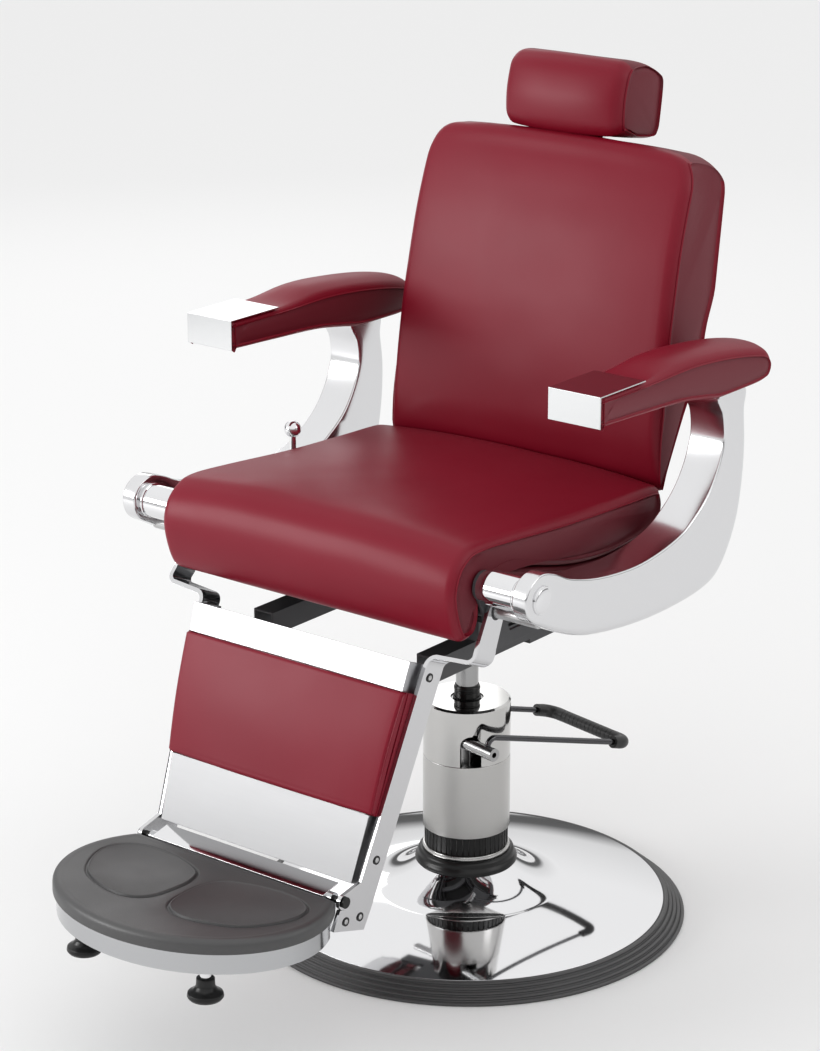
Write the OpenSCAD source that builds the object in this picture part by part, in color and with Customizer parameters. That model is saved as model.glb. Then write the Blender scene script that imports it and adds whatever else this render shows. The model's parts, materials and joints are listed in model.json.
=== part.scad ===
// Hydraulic barber chair: swivelling seat on a pump column, with a reclining back,
// a lifting leg rest that a link ties to the back, and a folding foot platform.
// Millimetres. Origin: centre of the base's underside. The sitter faces -Y, +Z is up.

/* [Base] */
// Outer radius of the rubber rim on the floor
base_r = 336.5; // [300:1:380]
// Height of the rubber rim
rim_h = 24; // [18:1:32]
// Height that the chrome dome reaches where its neck starts
dome_h = 50; // [40:1:58]
// Radius where the dome turns up into its neck
dome_neck_r = 120; // [108:1:140]
// Sheet thickness of the chrome dome
dome_wall = 3; // [2:0.5:4]
// Thickness of the cast iron ballast disc
ballast_t = 15; // [10:1:17]

/* [Pump] */
// Outer radius of the pump's chrome cover
cover_r = 66.4; // [64:0.2:70]
// Sheet thickness of the pump cover
cover_wall = 2; // [1.5:0.5:3]
// Height where the two halves of the cover meet
cover_seam_z = 258; // [250:1:264]
// Height of the cover's flat lid
cover_top_z = 348; // [340:1:360]
// Height of the cover's lower edge
cover_foot_z = 141; // [130:1:150]
// Height of the rubber collar's top
collar_top_z = 104; // [98:1:112]
// Radius of the rubber collar
collar_r = 75; // [71:1:80]
// Radius of the lifting ram
ram_r = 17; // [14:0.5:18]
// Height of the gland nut above the lid
gland_h = 21; // [20:1:32]
// How far the seat is raised above its lowest place as drawn
raised = 120; // [90:1:122]

/* [Pump lever] */
// Angle that the lever is turned to about the ram
lever_heading = -11.5; // [-20:0.5:0]
// Distance of the lever's shaft in front of the ram
lever_shaft_y = 38; // [36:0.5:40]
// Height of the lever's shaft
lever_shaft_z = 295; // [290:1:300]
// Half of the shaft's whole length
lever_shaft_half = 105; // [98:1:115]
// Half of the distance between the two rods
lever_half_w = 87; // [80:1:92]
// Distance from the shaft to the middle of the grip
lever_reach = 300; // [250:1:340]
// Slope of the rods below the horizontal
lever_slope = 16.5; // [10:0.5:20]
// Radius of the lever's rods
lever_rod_r = 4.5; // [3.5:0.5:6]
// Radius of the rubber grip
lever_grip_r = 8.5; // [7:0.5:10]
// Length of the rocker between the shaft and the plunger
rocker_l = 18; // [16:0.5:19]

/* [Seat frame] */
// Height of the seat rails' underside
rail_z = 500; // [496:1:508]
// Height of the seat rails
rail_h = 35; // [28:1:36]
// Distance from the middle to a rail's centre
rail_x = 150; // [145:1:160]
// Width of a rail
rail_w = 36; // [30:1:40]
// Wall of the rails
rail_wall = 3; // [2:0.5:4]
// Height of the cross members on the rails
cross_h = 20; // [16:1:22]
// Height of the seat pan's underside
pan_z = 592; // [590:1:596]
// Thickness of the seat pan
pan_t = 8; // [6:1:10]

/* [Seat] */
// Half of the seat cushion's width
seat_half_w = 264; // [250:1:264]
// How much the cushion's middle stands above its edges
seat_crown = 13; // [6:1:18]
// Radius of the cushion's sewn side edges
seat_edge_r = 14; // [8:1:18]
// Half of the width of the upholstered seat box
box_half_w = 255; // [246:1:258]

/* [Arms] */
// Distance from the seat cushion's side to an arm's outer face
arm_out = 101; // [92:1:110]
// Thickness of the arm along its upright and lower run
arm_t = 60; // [50:1:64]
// Thickness of the arm at its front boss
arm_boss_t = 25; // [20:1:30]
// Distance of the boss in front of the ram
boss_y = 320; // [316:1:324]
// Height of the boss
boss_z = 673; // [670:1:678]
// Radius of the round cap in the boss
boss_cap_r = 22; // [16:1:25]
// Radius of the barrel between the boss and the seat
barrel_r = 25; // [20:1:26]

/* [Arm rests] */
// Distance from the seat cushion's side to a pad's centre line
pad_out = 63; // [56:1:68]
// Width of an arm pad
pad_w = 86; // [76:1:92]
// Depth of the pad's side panel at its front
pad_h = 43; // [36:1:50]
// Length of the chrome cap's top plate
cap_l = 106; // [80:1:120]
// Sheet thickness of the chrome cap
cap_t = 2; // [1:0.5:3]
// Height of the arm pads' front top edge
pad_top_z = 924; // [910:1:940]

/* [Back] */
// Lean of the back from the vertical
back_lean = 9.5; // [6:0.5:12]
// Distance of the back's hinge behind the ram
back_hinge_y = 125; // [122:1:130]
// Height of the back's hinge
back_hinge_z = 636; // [634:1:640]
// Half of the back cushion's width at the seat
back_half_w = 250; // [235:1:256]
// Half of the back cushion's width at its top
back_top_half_w = 239; // [225:1:250]
// Length of the back cushion above its hinge
back_l = 541; // [520:1:560]
// Thickness of the back cushion
back_t = 92; // [80:1:100]
// How much the front of the back cushion bulges
back_crown = 12; // [6:1:18]
// Thickness of the rear shell
shell_t = 15; // [14:1:20]

/* [Head rest] */
// Half of the head rest's width
head_half_w = 107; // [85:1:115]
// Height of the head rest pad at its front
head_h = 109; // [100:1:125]
// Depth of the head rest pad
head_d = 107; // [103:1:115]
// Gap between the back cushion and the head rest
head_gap = 7; // [4:1:12]
// Width of the head rest's slide bar
head_bar_w = 32; // [26:1:40]
// Thickness of the head rest's slide bar
head_bar_t = 8; // [6:0.5:9]
// Length of the slide bar that stays in the back
head_bar_in = 190; // [150:1:240]

/* [Leg rest] */
// Lean of the leg rest from the vertical
leg_lean = 22.4; // [18:0.2:26]
// Distance of the leg rest's hinge in front of the ram
leg_hinge_y = 300; // [298:1:304]
// Height of the leg rest's hinge
leg_hinge_z = 633; // [631:1:636]
// Radius of the hinge pins
leg_pin_r = 10; // [8:0.5:10]
// Width of the flat side bars
bar_w = 41; // [34:1:46]
// Thickness of the flat side bars
bar_t = 6; // [4:0.5:7]
// Distance from the middle to a side bar's outer face at its top
bar_top_x = 208; // [204:1:212]
// Distance from the middle to a side bar's outer face at its foot
bar_foot_x = 183; // [181:1:188]
// Depth of the upper chrome leg panel in front of the bars' front edge
leg_panel_d = 22; // [18:1:26]
// How far the calf pad's edges stand in front of the chrome panels
calf_stand = 3; // [1:0.5:8]
// How much the calf pad's middle bulges
calf_crown = 9; // [4:1:14]
// Length of the crank arms on the two hinges
crank_l = 60; // [56:1:60]
// Angle of the cranks behind the vertical
crank_set = 27; // [24:1:30]
// Distance from the middle to the link rods
link_x = 120; // [112:1:124]

/* [Foot platform] */
// Half of the platform's width
foot_rx = 210; // [195:1:220]
// Depth of the platform from its rear edge to its front
foot_d = 256; // [230:1:270]
// Half of the rear edge's width
foot_rear_half = 181; // [170:1:186]
// Thickness of the rubber mat
mat_t = 20; // [14:1:24]
// Depth of the chrome band under the mat
band_h = 30; // [24:1:34]
// Sheet thickness of the chrome band
band_wall = 2; // [1.5:0.5:3]
// Distance from the middle to each foot's rod
stud_x = 111; // [90:1:125]
// Radius of the feet's rods
stud_r = 8; // [6:0.5:10]
// Radius of the feet's rubber tips
tip_r = 25; // [20:1:28]
// Height of the feet's rubber tips
tip_h = 31; // [26:1:36]

/* [Recline lever] */
// Distance from the seat cushion's side to the recline lever
knob_out = 26; // [20:1:30]
// Distance of the recline lever in front of the ram
knob_y = 58; // [50:1:70]
// Height of the recline lever's ball
knob_z = 729; // [720:1:740]
// Radius of the ball
knob_r = 13; // [10:0.5:15]

/* [Hidden] */
$fn = 64;
run_gap = 0.05;      // radial clearance of every turning or sliding fit
seat_gap = 0.3;      // clearance between neighbours that only touch
weld = 0.6;          // how far the members of one weldment run into each other
screw_r = 5;         // radius of the leg rest's screw heads

// ---- small helpers -------------------------------------------------------------------

function unit(v) = v / norm(v);
function reversed(v) = [for (i = [len(v) - 1 : -1 : 0]) v[i]];

// A smooth closed curve through points, n steps from each point to the next
function closed_curve(p, n) = [for (i = [0 : len(p) - 1], k = [0 : n - 1])
    let (c = len(p), a = p[(i + c - 1) % c], b = p[i], d = p[(i + 1) % c], e = p[(i + 2) % c], t = k / n)
    0.5 * (2 * b + (d - a) * t + (2 * a - 5 * b + 4 * d - e) * t * t + (3 * b - a - 3 * d + e) * t * t * t)];

// The outline of a strip of thickness t whose left side follows the points
function strip(p, t) = let (c = len(p))
    concat(p, [for (i = [c - 1 : -1 : 0])
        let (a = p[max(i - 1, 0)], b = p[min(i + 1, c - 1)], d = unit(b - a)) p[i] + t * [d[1], -d[0]]]);

// Points on an arc
function arc(c, r, a0, a1, n) = [for (k = [0 : n]) let (a = a0 + (a1 - a0) * k / n)
    c + r * [cos(a), sin(a)]];

// An outline in Y and Z, drawn out along X
module side_prism(outline, x0, x1) {
    translate([x0, 0, 0]) rotate([90, 0, 90]) linear_extrude(x1 - x0) polygon(outline);
}

// A round bar along X
module bar_x(r, x0, x1, y, z) {
    translate([x0, y, z]) rotate([0, 90, 0]) cylinder(r = r, h = x1 - x0);
}

// A body of width 2 * half along X whose section is a closed outline in Y and Z, listed
// against the clock as seen from +X, with an even count. The section draws in over edge_r at both ends, less
// where edge says so, and bulges by crown towards the direction up in the middle. taper
// scales the width at a point, and fit moves a finished point.
module pillow(outline, half, edge_r, crown, up, steps = 5, taper = function(p) 1,
    edge = function(p) 1, fit = function(p) p) {
    c = len(outline);
    normals = [for (i = [0 : c - 1])
        let (d = unit(outline[(i + 1) % c] - outline[(i + c - 1) % c])) [d[1], -d[0]]];
    rounding = [for (k = [0 : steps]) 90 * k / steps];
    right = [for (a = rounding) [half - edge_r * (1 - sin(a)), edge_r * (1 - cos(a))]];
    middle = [for (k = [-3 : 3]) [(half - edge_r) * k / 4, 0]];
    left = [for (k = [steps : -1 : 0]) [-right[k][0], right[k][1]]];
    stations = concat(left, middle, right);
    n = len(stations);
    points = [for (s = stations) for (i = [0 : c - 1])
        let (u = s[0] / half,
             lift = crown * pow(max(0, normals[i] * up), 2) * (1 - pow(abs(u), 2.6)),
             q = fit(outline[i] + normals[i] * (lift - s[1] * edge(outline[i]))))
        [s[0] * taper(q), q[0], q[1]]];
    sides = [for (s = [0 : n - 2]) for (i = [0 : c - 1])
        let (a = s * c + i, b = s * c + (i + 1) % c) each [[a, b + c, b], [a, a + c, b + c]]];
    cap = [for (i = [0 : c / 2 - 2]) each [[i, i + 1, c - 2 - i], [i, c - 2 - i, c - 1 - i]]];
    caps = concat(cap, [for (f = cap) [for (v = reversed(f)) v + (n - 1) * c]]);
    polyhedron(points, concat(sides, caps), convexity = 6);
}

// ---- base ----------------------------------------------------------------------------

weight_r = base_r - 36;      // the ballast stays inside the rubber rim
pump_r = 40;                 // the pump's lower barrel
head_r = 60;                 // the pump's head, just inside the cover
spigot_z = 6;                // underside of the pump's barrel in the ballast's bore
hub_r = 68;                  // the ballast's raised hub
hub_z = 62;                  // its height, where the pump's flange is bolted on
flange_z = 12;               // thickness of the pump's flange
bolt_pcd = 54;               // radius of the pump bolts' circle
dome_edge_r = base_r - 10;   // the dome's rim under the rubber lip
dome_neck_top = collar_top_z - 20;

// Outer surface of the dome: a shallow rise, then a neck that turns up to the collar
function dome_z(r) = r > dome_neck_r
    ? rim_h - 3 + (dome_h - rim_h + 3) * (1 - pow((r - dome_neck_r) / (dome_edge_r - dome_neck_r), 1.7))
    : dome_h + (dome_neck_top - dome_h) * pow((dome_neck_r - r) / (dome_neck_r - collar_r - 1), 2.4);

module base_ballast() color("dimgray") difference() {
    union() {
        cylinder(r = weight_r, h = ballast_t);
        cylinder(r = hub_r, h = hub_z - flange_z);
    }
    translate([0, 0, spigot_z]) cylinder(r = pump_r + seat_gap, h = hub_z);
    for (a = [45 : 90 : 315])
        rotate(a) translate([bolt_pcd, 0, hub_z - flange_z - 24]) cylinder(r = 4.2, h = 40);
}

module base_dome() color("silver") {
    out = [for (r = [dome_edge_r : -(dome_edge_r - dome_neck_r) / 14 : dome_neck_r + 1]) [r, dome_z(r)]];
    neck = [for (k = [0 : 10]) let (r = dome_neck_r - (dome_neck_r - collar_r - 1) * k / 10) [r,
        dome_z(r)]];
    top = concat(out, neck);
    rotate_extrude($fn = 96) polygon(strip(top, -dome_wall));
}

module base_rim() color("dimgray") {
    lip = dome_z(dome_edge_r) - dome_wall;
    ribs = 4;
    rib = (rim_h - 6) / ribs;
    outer = [for (k = [0 : ribs - 1]) each [
        [base_r - 1.2 * k, 2 + rib * k], [base_r - 1.2 * k, 2 + rib * (k + 0.62)],
        [base_r - 2.4 - 1.2 * k, 2 + rib * (k + 0.72)], [base_r - 2.4 - 1.2 * k, 2 + rib * (k + 0.95)]]];
    rotate_extrude($fn = 96) polygon(concat([[weight_r + seat_gap, 0], [base_r - 1, 0]], outer,
        [[base_r - 7, rim_h - 1.5], [dome_edge_r + 1, rim_h], [dome_edge_r + seat_gap, lip - seat_gap],
         [weight_r + seat_gap, lip - seat_gap - 2]]));
}

module base_collar() color("black") {
    low = dome_neck_top - 9;
    collar_plug_r = collar_r - dome_wall + 0.4;
    rotate_extrude() polygon([[head_r + 3, low], [collar_plug_r, low],
        [collar_plug_r, dome_neck_top + seat_gap], [collar_r + 3, dome_neck_top + seat_gap],
        [collar_r + 3, dome_neck_top + 6], [collar_r - 1, collar_top_z - 4], [collar_r - 6, collar_top_z],
        [head_r + 3, collar_top_z]]);
}

// ---- pump ----------------------------------------------------------------------------

ear_x = 34;                  // inner face of the shaft's bearing ears
ear_t = 6;
ear_r = 11.5;
shaft_mid_r = 8;             // the shaft between and in the ears
shaft_end_r = 10;            // the shaft's chrome ends
head_top_z = cover_seam_z - 3;
neck_r = 24;
ram_foot_z = 60;
plunger_r = 6;
plunger_x = 27;
plunger_y = rocker_l - lever_shaft_y;
rocker_tip_r = 7;
plunger_top_z = lever_shaft_z - rocker_tip_r - seat_gap;
plunger_foot_z = head_top_z - 50;
rod_lift = 22.5;             // the rods run this far over the shaft
bend_r = 20;                 // the lever's corners

module at_lever() rotate(lever_heading) children();

module pump_body() color("slategray") difference() {
    union() {
        translate([0, 0, spigot_z]) cylinder(r = pump_r, h = head_top_z - spigot_z);
        translate([0, 0, hub_z - flange_z]) cylinder(r = hub_r - 4, h = flange_z);
        translate([0, 0, head_top_z - 50]) cylinder(r = head_r, h = 50);
        translate([0, 0, head_top_z - 1]) cylinder(r = neck_r, h = cover_top_z - head_top_z - 1);
        at_lever() for (s = [-1, 1]) translate([s * (ear_x + ear_t / 2), -lever_shaft_y, 0]) {
            translate([-ear_t / 2, 0, lever_shaft_z]) rotate([0, 90, 0]) cylinder(r = ear_r, h = ear_t);
            translate([-ear_t / 2, -8, head_top_z - 1]) cube([ear_t, 16, lever_shaft_z - head_top_z]);
        }
    }
    translate([0, 0, ram_foot_z - raised]) cylinder(r = ram_r + run_gap, h = cover_top_z + 100);
    at_lever() {
        bar_x(shaft_mid_r + run_gap, -ear_x - ear_t - 1, ear_x + ear_t + 1, -lever_shaft_y, lever_shaft_z);
        translate([plunger_x, plunger_y, plunger_foot_z - 15]) cylinder(r = plunger_r + run_gap, h = 80);
    }
    for (a = [45 : 90 : 315]) rotate(a) translate([bolt_pcd, 0, hub_z - flange_z - 1])
        cylinder(r = 4.5, h = 14);
}

module pump_bolts() color("gray") for (a = [45 : 90 : 315]) rotate(a) translate([bolt_pcd, 0, 0]) {
    translate([0, 0, hub_z - flange_z - 22]) cylinder(r = 4, h = 22 + flange_z);
    translate([0, 0, hub_z]) cylinder(r = 6.5, h = 6, $fn = 6);
}

module cover_skirt() color("dimgray") rotate_extrude() polygon([
    [head_r + 0.6, collar_top_z - 12], [cover_r - cover_wall - 1.4, collar_top_z - 12],
    [cover_r - cover_wall - 1.4, cover_foot_z + 14], [head_r + 0.6, cover_foot_z + 14]]);

module cover_lower() color("lightgray") rotate_extrude($fn = 96) polygon([
    [cover_r - cover_wall, cover_foot_z], [cover_r - 0.6, cover_foot_z], [cover_r, cover_foot_z + 0.6],
    [cover_r, cover_seam_z - 0.5], [cover_r - 0.5, cover_seam_z], [cover_r - cover_wall, cover_seam_z]]);

// The shaft leaves the cover through two windows that are open at the seam
window_r = 16;
window_heading = 36;
module cover_upper() color("silver") difference() {
    rotate_extrude($fn = 96) polygon([
        [cover_r - cover_wall, cover_seam_z + seat_gap], [cover_r, cover_seam_z + seat_gap],
        [cover_r, cover_top_z - 3], [cover_r - 3, cover_top_z], [neck_r + 1, cover_top_z],
        [neck_r + 1, cover_top_z - cover_wall], [cover_r - cover_wall, cover_top_z - cover_wall]]);
    at_lever() for (s = [-1, 1]) {
        out = s > 0 ? -window_heading : window_heading - 180;
        rotate(out) translate([cover_r - 20, 0, 0]) {
            translate([0, -window_r, cover_seam_z - 5])
                cube([40, 2 * window_r, lever_shaft_z - cover_seam_z + 2]);
            translate([0, 0, lever_shaft_z - 3]) rotate([0, 90, 0]) cylinder(r = window_r, h = 40);
            translate([0, 6, lever_shaft_z + 11]) rotate([0, 90, 0]) cylinder(r = 4.5, h = 40);
        }
    }
}

module gland_nut() color("dimgray") rotate_extrude() polygon([
    [ram_r + run_gap, cover_top_z - 1], [neck_r, cover_top_z - 1], [neck_r, cover_top_z + seat_gap],
    [ram_r + 4, cover_top_z + 1], [ram_r + 4, cover_top_z + 9], [ram_r + 3, cover_top_z + 10],
    [ram_r + 3, cover_top_z + 13], [ram_r + 6, cover_top_z + 14], [ram_r + 6, cover_top_z + 17],
    [ram_r + 3, cover_top_z + 18], [ram_r + 3, cover_top_z + gland_h - 2],
    [ram_r + 1.5, cover_top_z + gland_h], [ram_r + run_gap, cover_top_z + gland_h]]);

// ---- pump lever ----------------------------------------------------------------------

module lever_frame() at_lever() translate([0, -lever_shaft_y, lever_shaft_z]) children();

module lever_shaft() color("silver") lever_frame() difference() {
    union() {
        bar_x(shaft_mid_r, -ear_x - ear_t - 2, ear_x + ear_t + 2, 0, 0);
        for (s = [-1, 1])
            bar_x(shaft_end_r, s > 0 ? ear_x + ear_t + 1 : -lever_shaft_half,
                s > 0 ? lever_shaft_half : -ear_x - ear_t - 1, 0, 0);
        translate([plunger_x - 5, 0, -rocker_tip_r]) cube([10, rocker_l, 2 * rocker_tip_r]);
        bar_x(rocker_tip_r, plunger_x - 5, plunger_x + 5, rocker_l, 0);
    }
    for (s = [-1, 1]) bar_x(4, s > 0 ? lever_shaft_half - 25 : -lever_shaft_half - 1,
        s > 0 ? lever_shaft_half + 1 : -lever_shaft_half + 25, 0, 0);
}

post_bend = 12;
rod_l = lever_reach - bend_r;                // length of the straight rods
module lever_loop() color("silver") lever_frame() rotate([-lever_slope, 0, 0]) difference() {
    for (s = [-1, 1]) translate([s * lever_half_w, 0, 0]) {
        cylinder(r = lever_rod_r, h = rod_lift - post_bend);
        translate([0, post_bend, rod_lift - post_bend]) rotate([0, -90, 0]) rotate([0, 0, -90])
            rotate_extrude(angle = 90) translate([post_bend, 0]) circle(r = lever_rod_r);
        translate([0, post_bend, rod_lift]) rotate([-90, 0, 0])
            cylinder(r = lever_rod_r, h = rod_l - post_bend - 1);
    }
    bar_x(shaft_end_r + 0.02, -lever_half_w - 20, lever_half_w + 20, 0, 0);
}

// The rubber grip round the rods' ends and the loop between them, ribbed along its middle
grip_leg = 12;
module lever_grip() color("black") lever_frame() rotate([-lever_slope, 0, 0]) translate([0, 0, rod_lift]) {
    half = lever_half_w - bend_r;
    ribs = floor((2 * half - 20) / 9);
    for (s = [-1, 1]) {
        translate([s * lever_half_w, rod_l - grip_leg, 0]) rotate([-90, 0, 0]) difference() {
            cylinder(r = lever_grip_r, h = grip_leg);
            translate([0, 0, -1]) cylinder(r = lever_rod_r + 0.02, h = grip_leg);
        }
        translate([s * half, rod_l, 0]) rotate(s > 0 ? 0 : 90)
            rotate_extrude(angle = 90) translate([bend_r, 0]) circle(r = lever_grip_r);
    }
    translate([-half, lever_reach, 0]) rotate([0, 90, 0]) rotate_extrude() polygon(concat(
        [[0, 0], [lever_grip_r, 0]],
        [for (k = [0 : ribs]) let (z = half + 9 * (k - ribs / 2)) each
            [[lever_grip_r, z - 1.2], [lever_grip_r - 0.8, z - 0.8], [lever_grip_r - 0.8, z + 0.8],
            [lever_grip_r, z + 1.2]]],
        [[lever_grip_r, 2 * half], [0, 2 * half]]));
}

module pump_plunger() color("silver") at_lever() translate([plunger_x, plunger_y, 0]) {
    translate([0, 0, plunger_foot_z]) cylinder(r = plunger_r, h = plunger_top_z - plunger_foot_z);
    translate([0, 0, plunger_top_z - 3]) cylinder(r = plunger_r + 1, h = 3);
}

// ---- ram and swivel ------------------------------------------------------------------

hub_top_z = pan_z - 6;
ram_top_z = hub_top_z - 8;
hub_tube_r = 30;
plate_t = 8;

module lifting_ram() color("silver") {
    difference() {
        translate([0, 0, ram_foot_z + raised]) cylinder(r = ram_r, h = ram_top_z - ram_foot_z - raised);
        translate([0, 0, ram_foot_z + raised - 1]) cylinder(r = ram_r - 6, h = 40);
    }
}

module swivel_hub() color("dimgray") difference() {
    union() {
        translate([0, 0, rail_z - plate_t]) cylinder(r = hub_tube_r, h = hub_top_z - rail_z + plate_t);
        translate([-rail_x - rail_w / 2 + 2, -70, rail_z - plate_t])
            cube([2 * rail_x + rail_w - 4, 140, plate_t - seat_gap]);
    }
    translate([0, 0, rail_z - plate_t - 1])
        cylinder(r = ram_r + run_gap, h = ram_top_z - rail_z + plate_t + 1);
}

// ---- seat frame ----------------------------------------------------------------------

rail_front = -leg_hinge_y + 8;
rail_rear = back_hinge_y + 28;
cross_front = [-leg_hinge_y + 96, -leg_hinge_y + 130];
cross_rear = [back_hinge_y - 42, back_hinge_y - 8];
cross_z = rail_z + rail_h;
side_gap = 0.5;
knob_x = seat_half_w + knob_out;
bracket_x = seat_half_w + side_gap;          // inner face of the arm brackets
bracket_t = 5;
side_plate_x = 185;                          // inner face of the upright side plates
side_plate_t = 8;
side_plate_front = cross_front[0] - 26;      // the plates and the pan run on beyond the front member
pan_front = -leg_hinge_y + 38;
lug_x = side_plate_x + side_plate_t / 2;     // the plates' rear ends hold the back's hinge
lug_r = 18;
hinge_shaft_r = 9;
plate_z = cross_z + cross_h;                 // the side plates stand on the cross members

// Channel rails, open downwards
module seat_rails() color("dimgray") for (s = [-1, 1]) translate([s * rail_x, rail_front, rail_z])
    difference() {
    translate([-rail_w / 2, 0, 0]) cube([rail_w, rail_rear - rail_front, rail_h]);
    translate([rail_wall - rail_w / 2, -1, -1])
        cube([rail_w - 2 * rail_wall, rail_rear - rail_front + 2, rail_h - rail_wall + 1]);
}

module cross_member(half, span) translate([-half, span[0], cross_z])
    cube([2 * half, span[1] - span[0], cross_h]);

module front_cross_member() color("dimgray") cross_member(side_plate_x + side_plate_t + 4, cross_front);
module rear_cross_member() color("dimgray") cross_member(bracket_x - seat_gap, cross_rear);

module side_plates() color("dimgray") for (s = [0, 1]) mirror([s, 0, 0]) difference() {
    union() {
        side_prism([[side_plate_front, plate_z], [cross_rear[1], plate_z],
            [back_hinge_y + lug_r, back_hinge_z], [back_hinge_y - lug_r, back_hinge_z],
            [back_hinge_y - lug_r - 3, pan_z - seat_gap], [side_plate_front, pan_z - seat_gap]],
            side_plate_x, side_plate_x + side_plate_t);
        bar_x(lug_r, side_plate_x, side_plate_x + side_plate_t, back_hinge_y, back_hinge_z);
    }
    bar_x(hinge_shaft_r + run_gap, side_plate_x - 1, side_plate_x + side_plate_t + 1, back_hinge_y,
        back_hinge_z);
}

// Outrigger on the right-hand rail for the recline lever
bracket_arm_w = 18;
bracket_arm_h = 10;
bracket_ear_x = knob_x - 8;                  // outer face of the ear that holds the lever's pivot
bracket_ear_t = 8;
knob_pivot_z = cross_z + 20;
knob_pivot_r = 4.5;
module lever_bracket() color("dimgray") translate([0, -knob_y, 0]) difference() {
    union() {
        translate([-knob_x - 1, -bracket_arm_w / 2, cross_z])
            cube([knob_x + 1 - rail_x + rail_w / 2 - 2, bracket_arm_w, bracket_arm_h]);
        translate([-bracket_ear_x, -bracket_arm_w / 2, cross_z])
            cube([bracket_ear_t, bracket_arm_w, knob_pivot_z - cross_z + 10]);
    }
    bar_x(knob_pivot_r + run_gap, -bracket_ear_x - 1, bracket_ear_t - bracket_ear_x + 1, 0, knob_pivot_z);
    // room for the lever's own hub
    translate([-knob_x - 2, -bracket_arm_w, knob_pivot_z - 9.5]) cube([8.7, 2 * bracket_arm_w, 30]);
}

pan_rear = 86;
module seat_pan() color("burlywood") translate([-box_half_w + 12, pan_front, pan_z])
    cube([2 * box_half_w - 24, pan_rear - pan_front, pan_t]);

// ---- seat ----------------------------------------------------------------------------

// Side outline of the seat cushion, from the rear top corner forwards over the nose
seat_outline = closed_curve([
    [104, 704], [20, 708], [-120, 715], [-250, 726], [-322, 730], [-352, 723], [-374, 703], [-384, 670],
    [-376, 630], [-362, 603], [-344, 598], [-327, 606], [-318, 628], [-316, 652], [-296, 674], [-254, 680],
    [-184, 661], [-100, 640], [-20, 631], [60, 635], [104, 648], [122, 664], [121, 690]], 2);
// The underside of the cushion, where the seat box meets it
seat_under = [[-262, 677.5], [-254, 679], [-184, 660], [-100, 639], [-20, 630], [60, 634], [100, 646]];

module seat_cushion() color("firebrick")
    pillow(seat_outline, seat_half_w, seat_edge_r, seat_crown, [-0.05, 1]);

module seat_box() color("darkred") side_prism(concat(
    [for (p = seat_under) p - [0, 1.6]],
    [[100, 628], [pan_rear, pan_z + pan_t + seat_gap], [pan_front, pan_z + pan_t + seat_gap],
    [pan_front, 664]]),
    -box_half_w, box_half_w);

// ---- arms ----------------------------------------------------------------------------

arm_top_z = 858;
arm_outer_x = seat_half_w + arm_out;
arm_inner_x = arm_outer_x - arm_t;
boss_inner_x = arm_outer_x - arm_boss_t;

// Side outline of an arm: the upright, the lower run and the round front boss
arm_outline = closed_curve([
    [105, arm_top_z], [118, 826], [122, 795], [115, 768], [100, 740], [80, 716], [52, 695], [15, 676],
    [-40, 664], [-105, 660], [-185, 668], [-250, 684], [-290, 702], [-boss_y, boss_z + 36], [-346, 698],
    [-boss_y - 35, boss_z + 3], [-346, 652], [-boss_y + 2, boss_z - 38], [-275, 613], [-215, 592],
    [-140, 579],
    [-60, 572], [20, 572], [80, 578], [118, 593], [148, 628], [168, 672], [178, 725], [180, 780],
    [174, 826],
    [171, arm_top_z]], 2);

// Plan outline of the right-hand arm: thin at the boss, full thickness from the lower run on
arm_plan = [[boss_inner_x, -380], [boss_inner_x, -boss_y + 58], [boss_inner_x - 8, -boss_y + 78],
    [arm_inner_x + 6, -boss_y + 118], [arm_inner_x, -boss_y + 150], [arm_inner_x, 200],
    [arm_outer_x, 200], [arm_outer_x, -380]];

module arm() difference() {
    intersection() {
        side_prism(arm_outline, arm_inner_x - 1, arm_outer_x);
        translate([0, 0, 540]) linear_extrude(340) polygon(arm_plan);
        translate([arm_inner_x - 2, -400, 540]) cube([arm_t + 4, 600, arm_top_z - 540]);
    }
    // seats of the boss cap, the barrel bolt and the hinge pin
    bar_x(boss_cap_r + seat_gap, arm_outer_x - 3, arm_outer_x + 1, -boss_y, boss_z);
    bar_x(leg_pin_r + seat_gap, boss_inner_x - 1, boss_inner_x + 8, -leg_hinge_y, leg_hinge_z);
    bar_x(hinge_shaft_r + seat_gap, arm_inner_x - 1, arm_inner_x + shaft_in_arm + seat_gap, back_hinge_y,
        back_hinge_z);
}

shaft_in_arm = 8;            // how far the back's hinge shaft runs into the arms
spacer_d = 30;
// Covered blocks round the shaft's ends, between the seat and the arms
module arm_spacers() color("darkred") for (s = [0, 1]) mirror([s, 0, 0]) difference() {
    translate([bracket_x, back_hinge_y - spacer_d / 2, back_hinge_z - 18])
        cube([arm_inner_x - seat_gap - bracket_x, spacer_d, 37]);
    bar_x(hinge_shaft_r + run_gap, bracket_x - 1, arm_inner_x + 1, back_hinge_y, back_hinge_z);
}

module arm_left() color("gainsboro") arm();
module arm_right() color("gainsboro") mirror([1, 0, 0]) arm();

module boss_caps() color("white") for (s = [0, 1]) mirror([s, 0, 0])
    translate([arm_outer_x - 3 + seat_gap, -boss_y, boss_z]) rotate([0, 90, 0]) {
        cylinder(r = boss_cap_r, h = 3.2);
        translate([0, 0, 3.2]) cylinder(r1 = boss_cap_r, r2 = boss_cap_r - 2, h = 1.5);
    }

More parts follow.
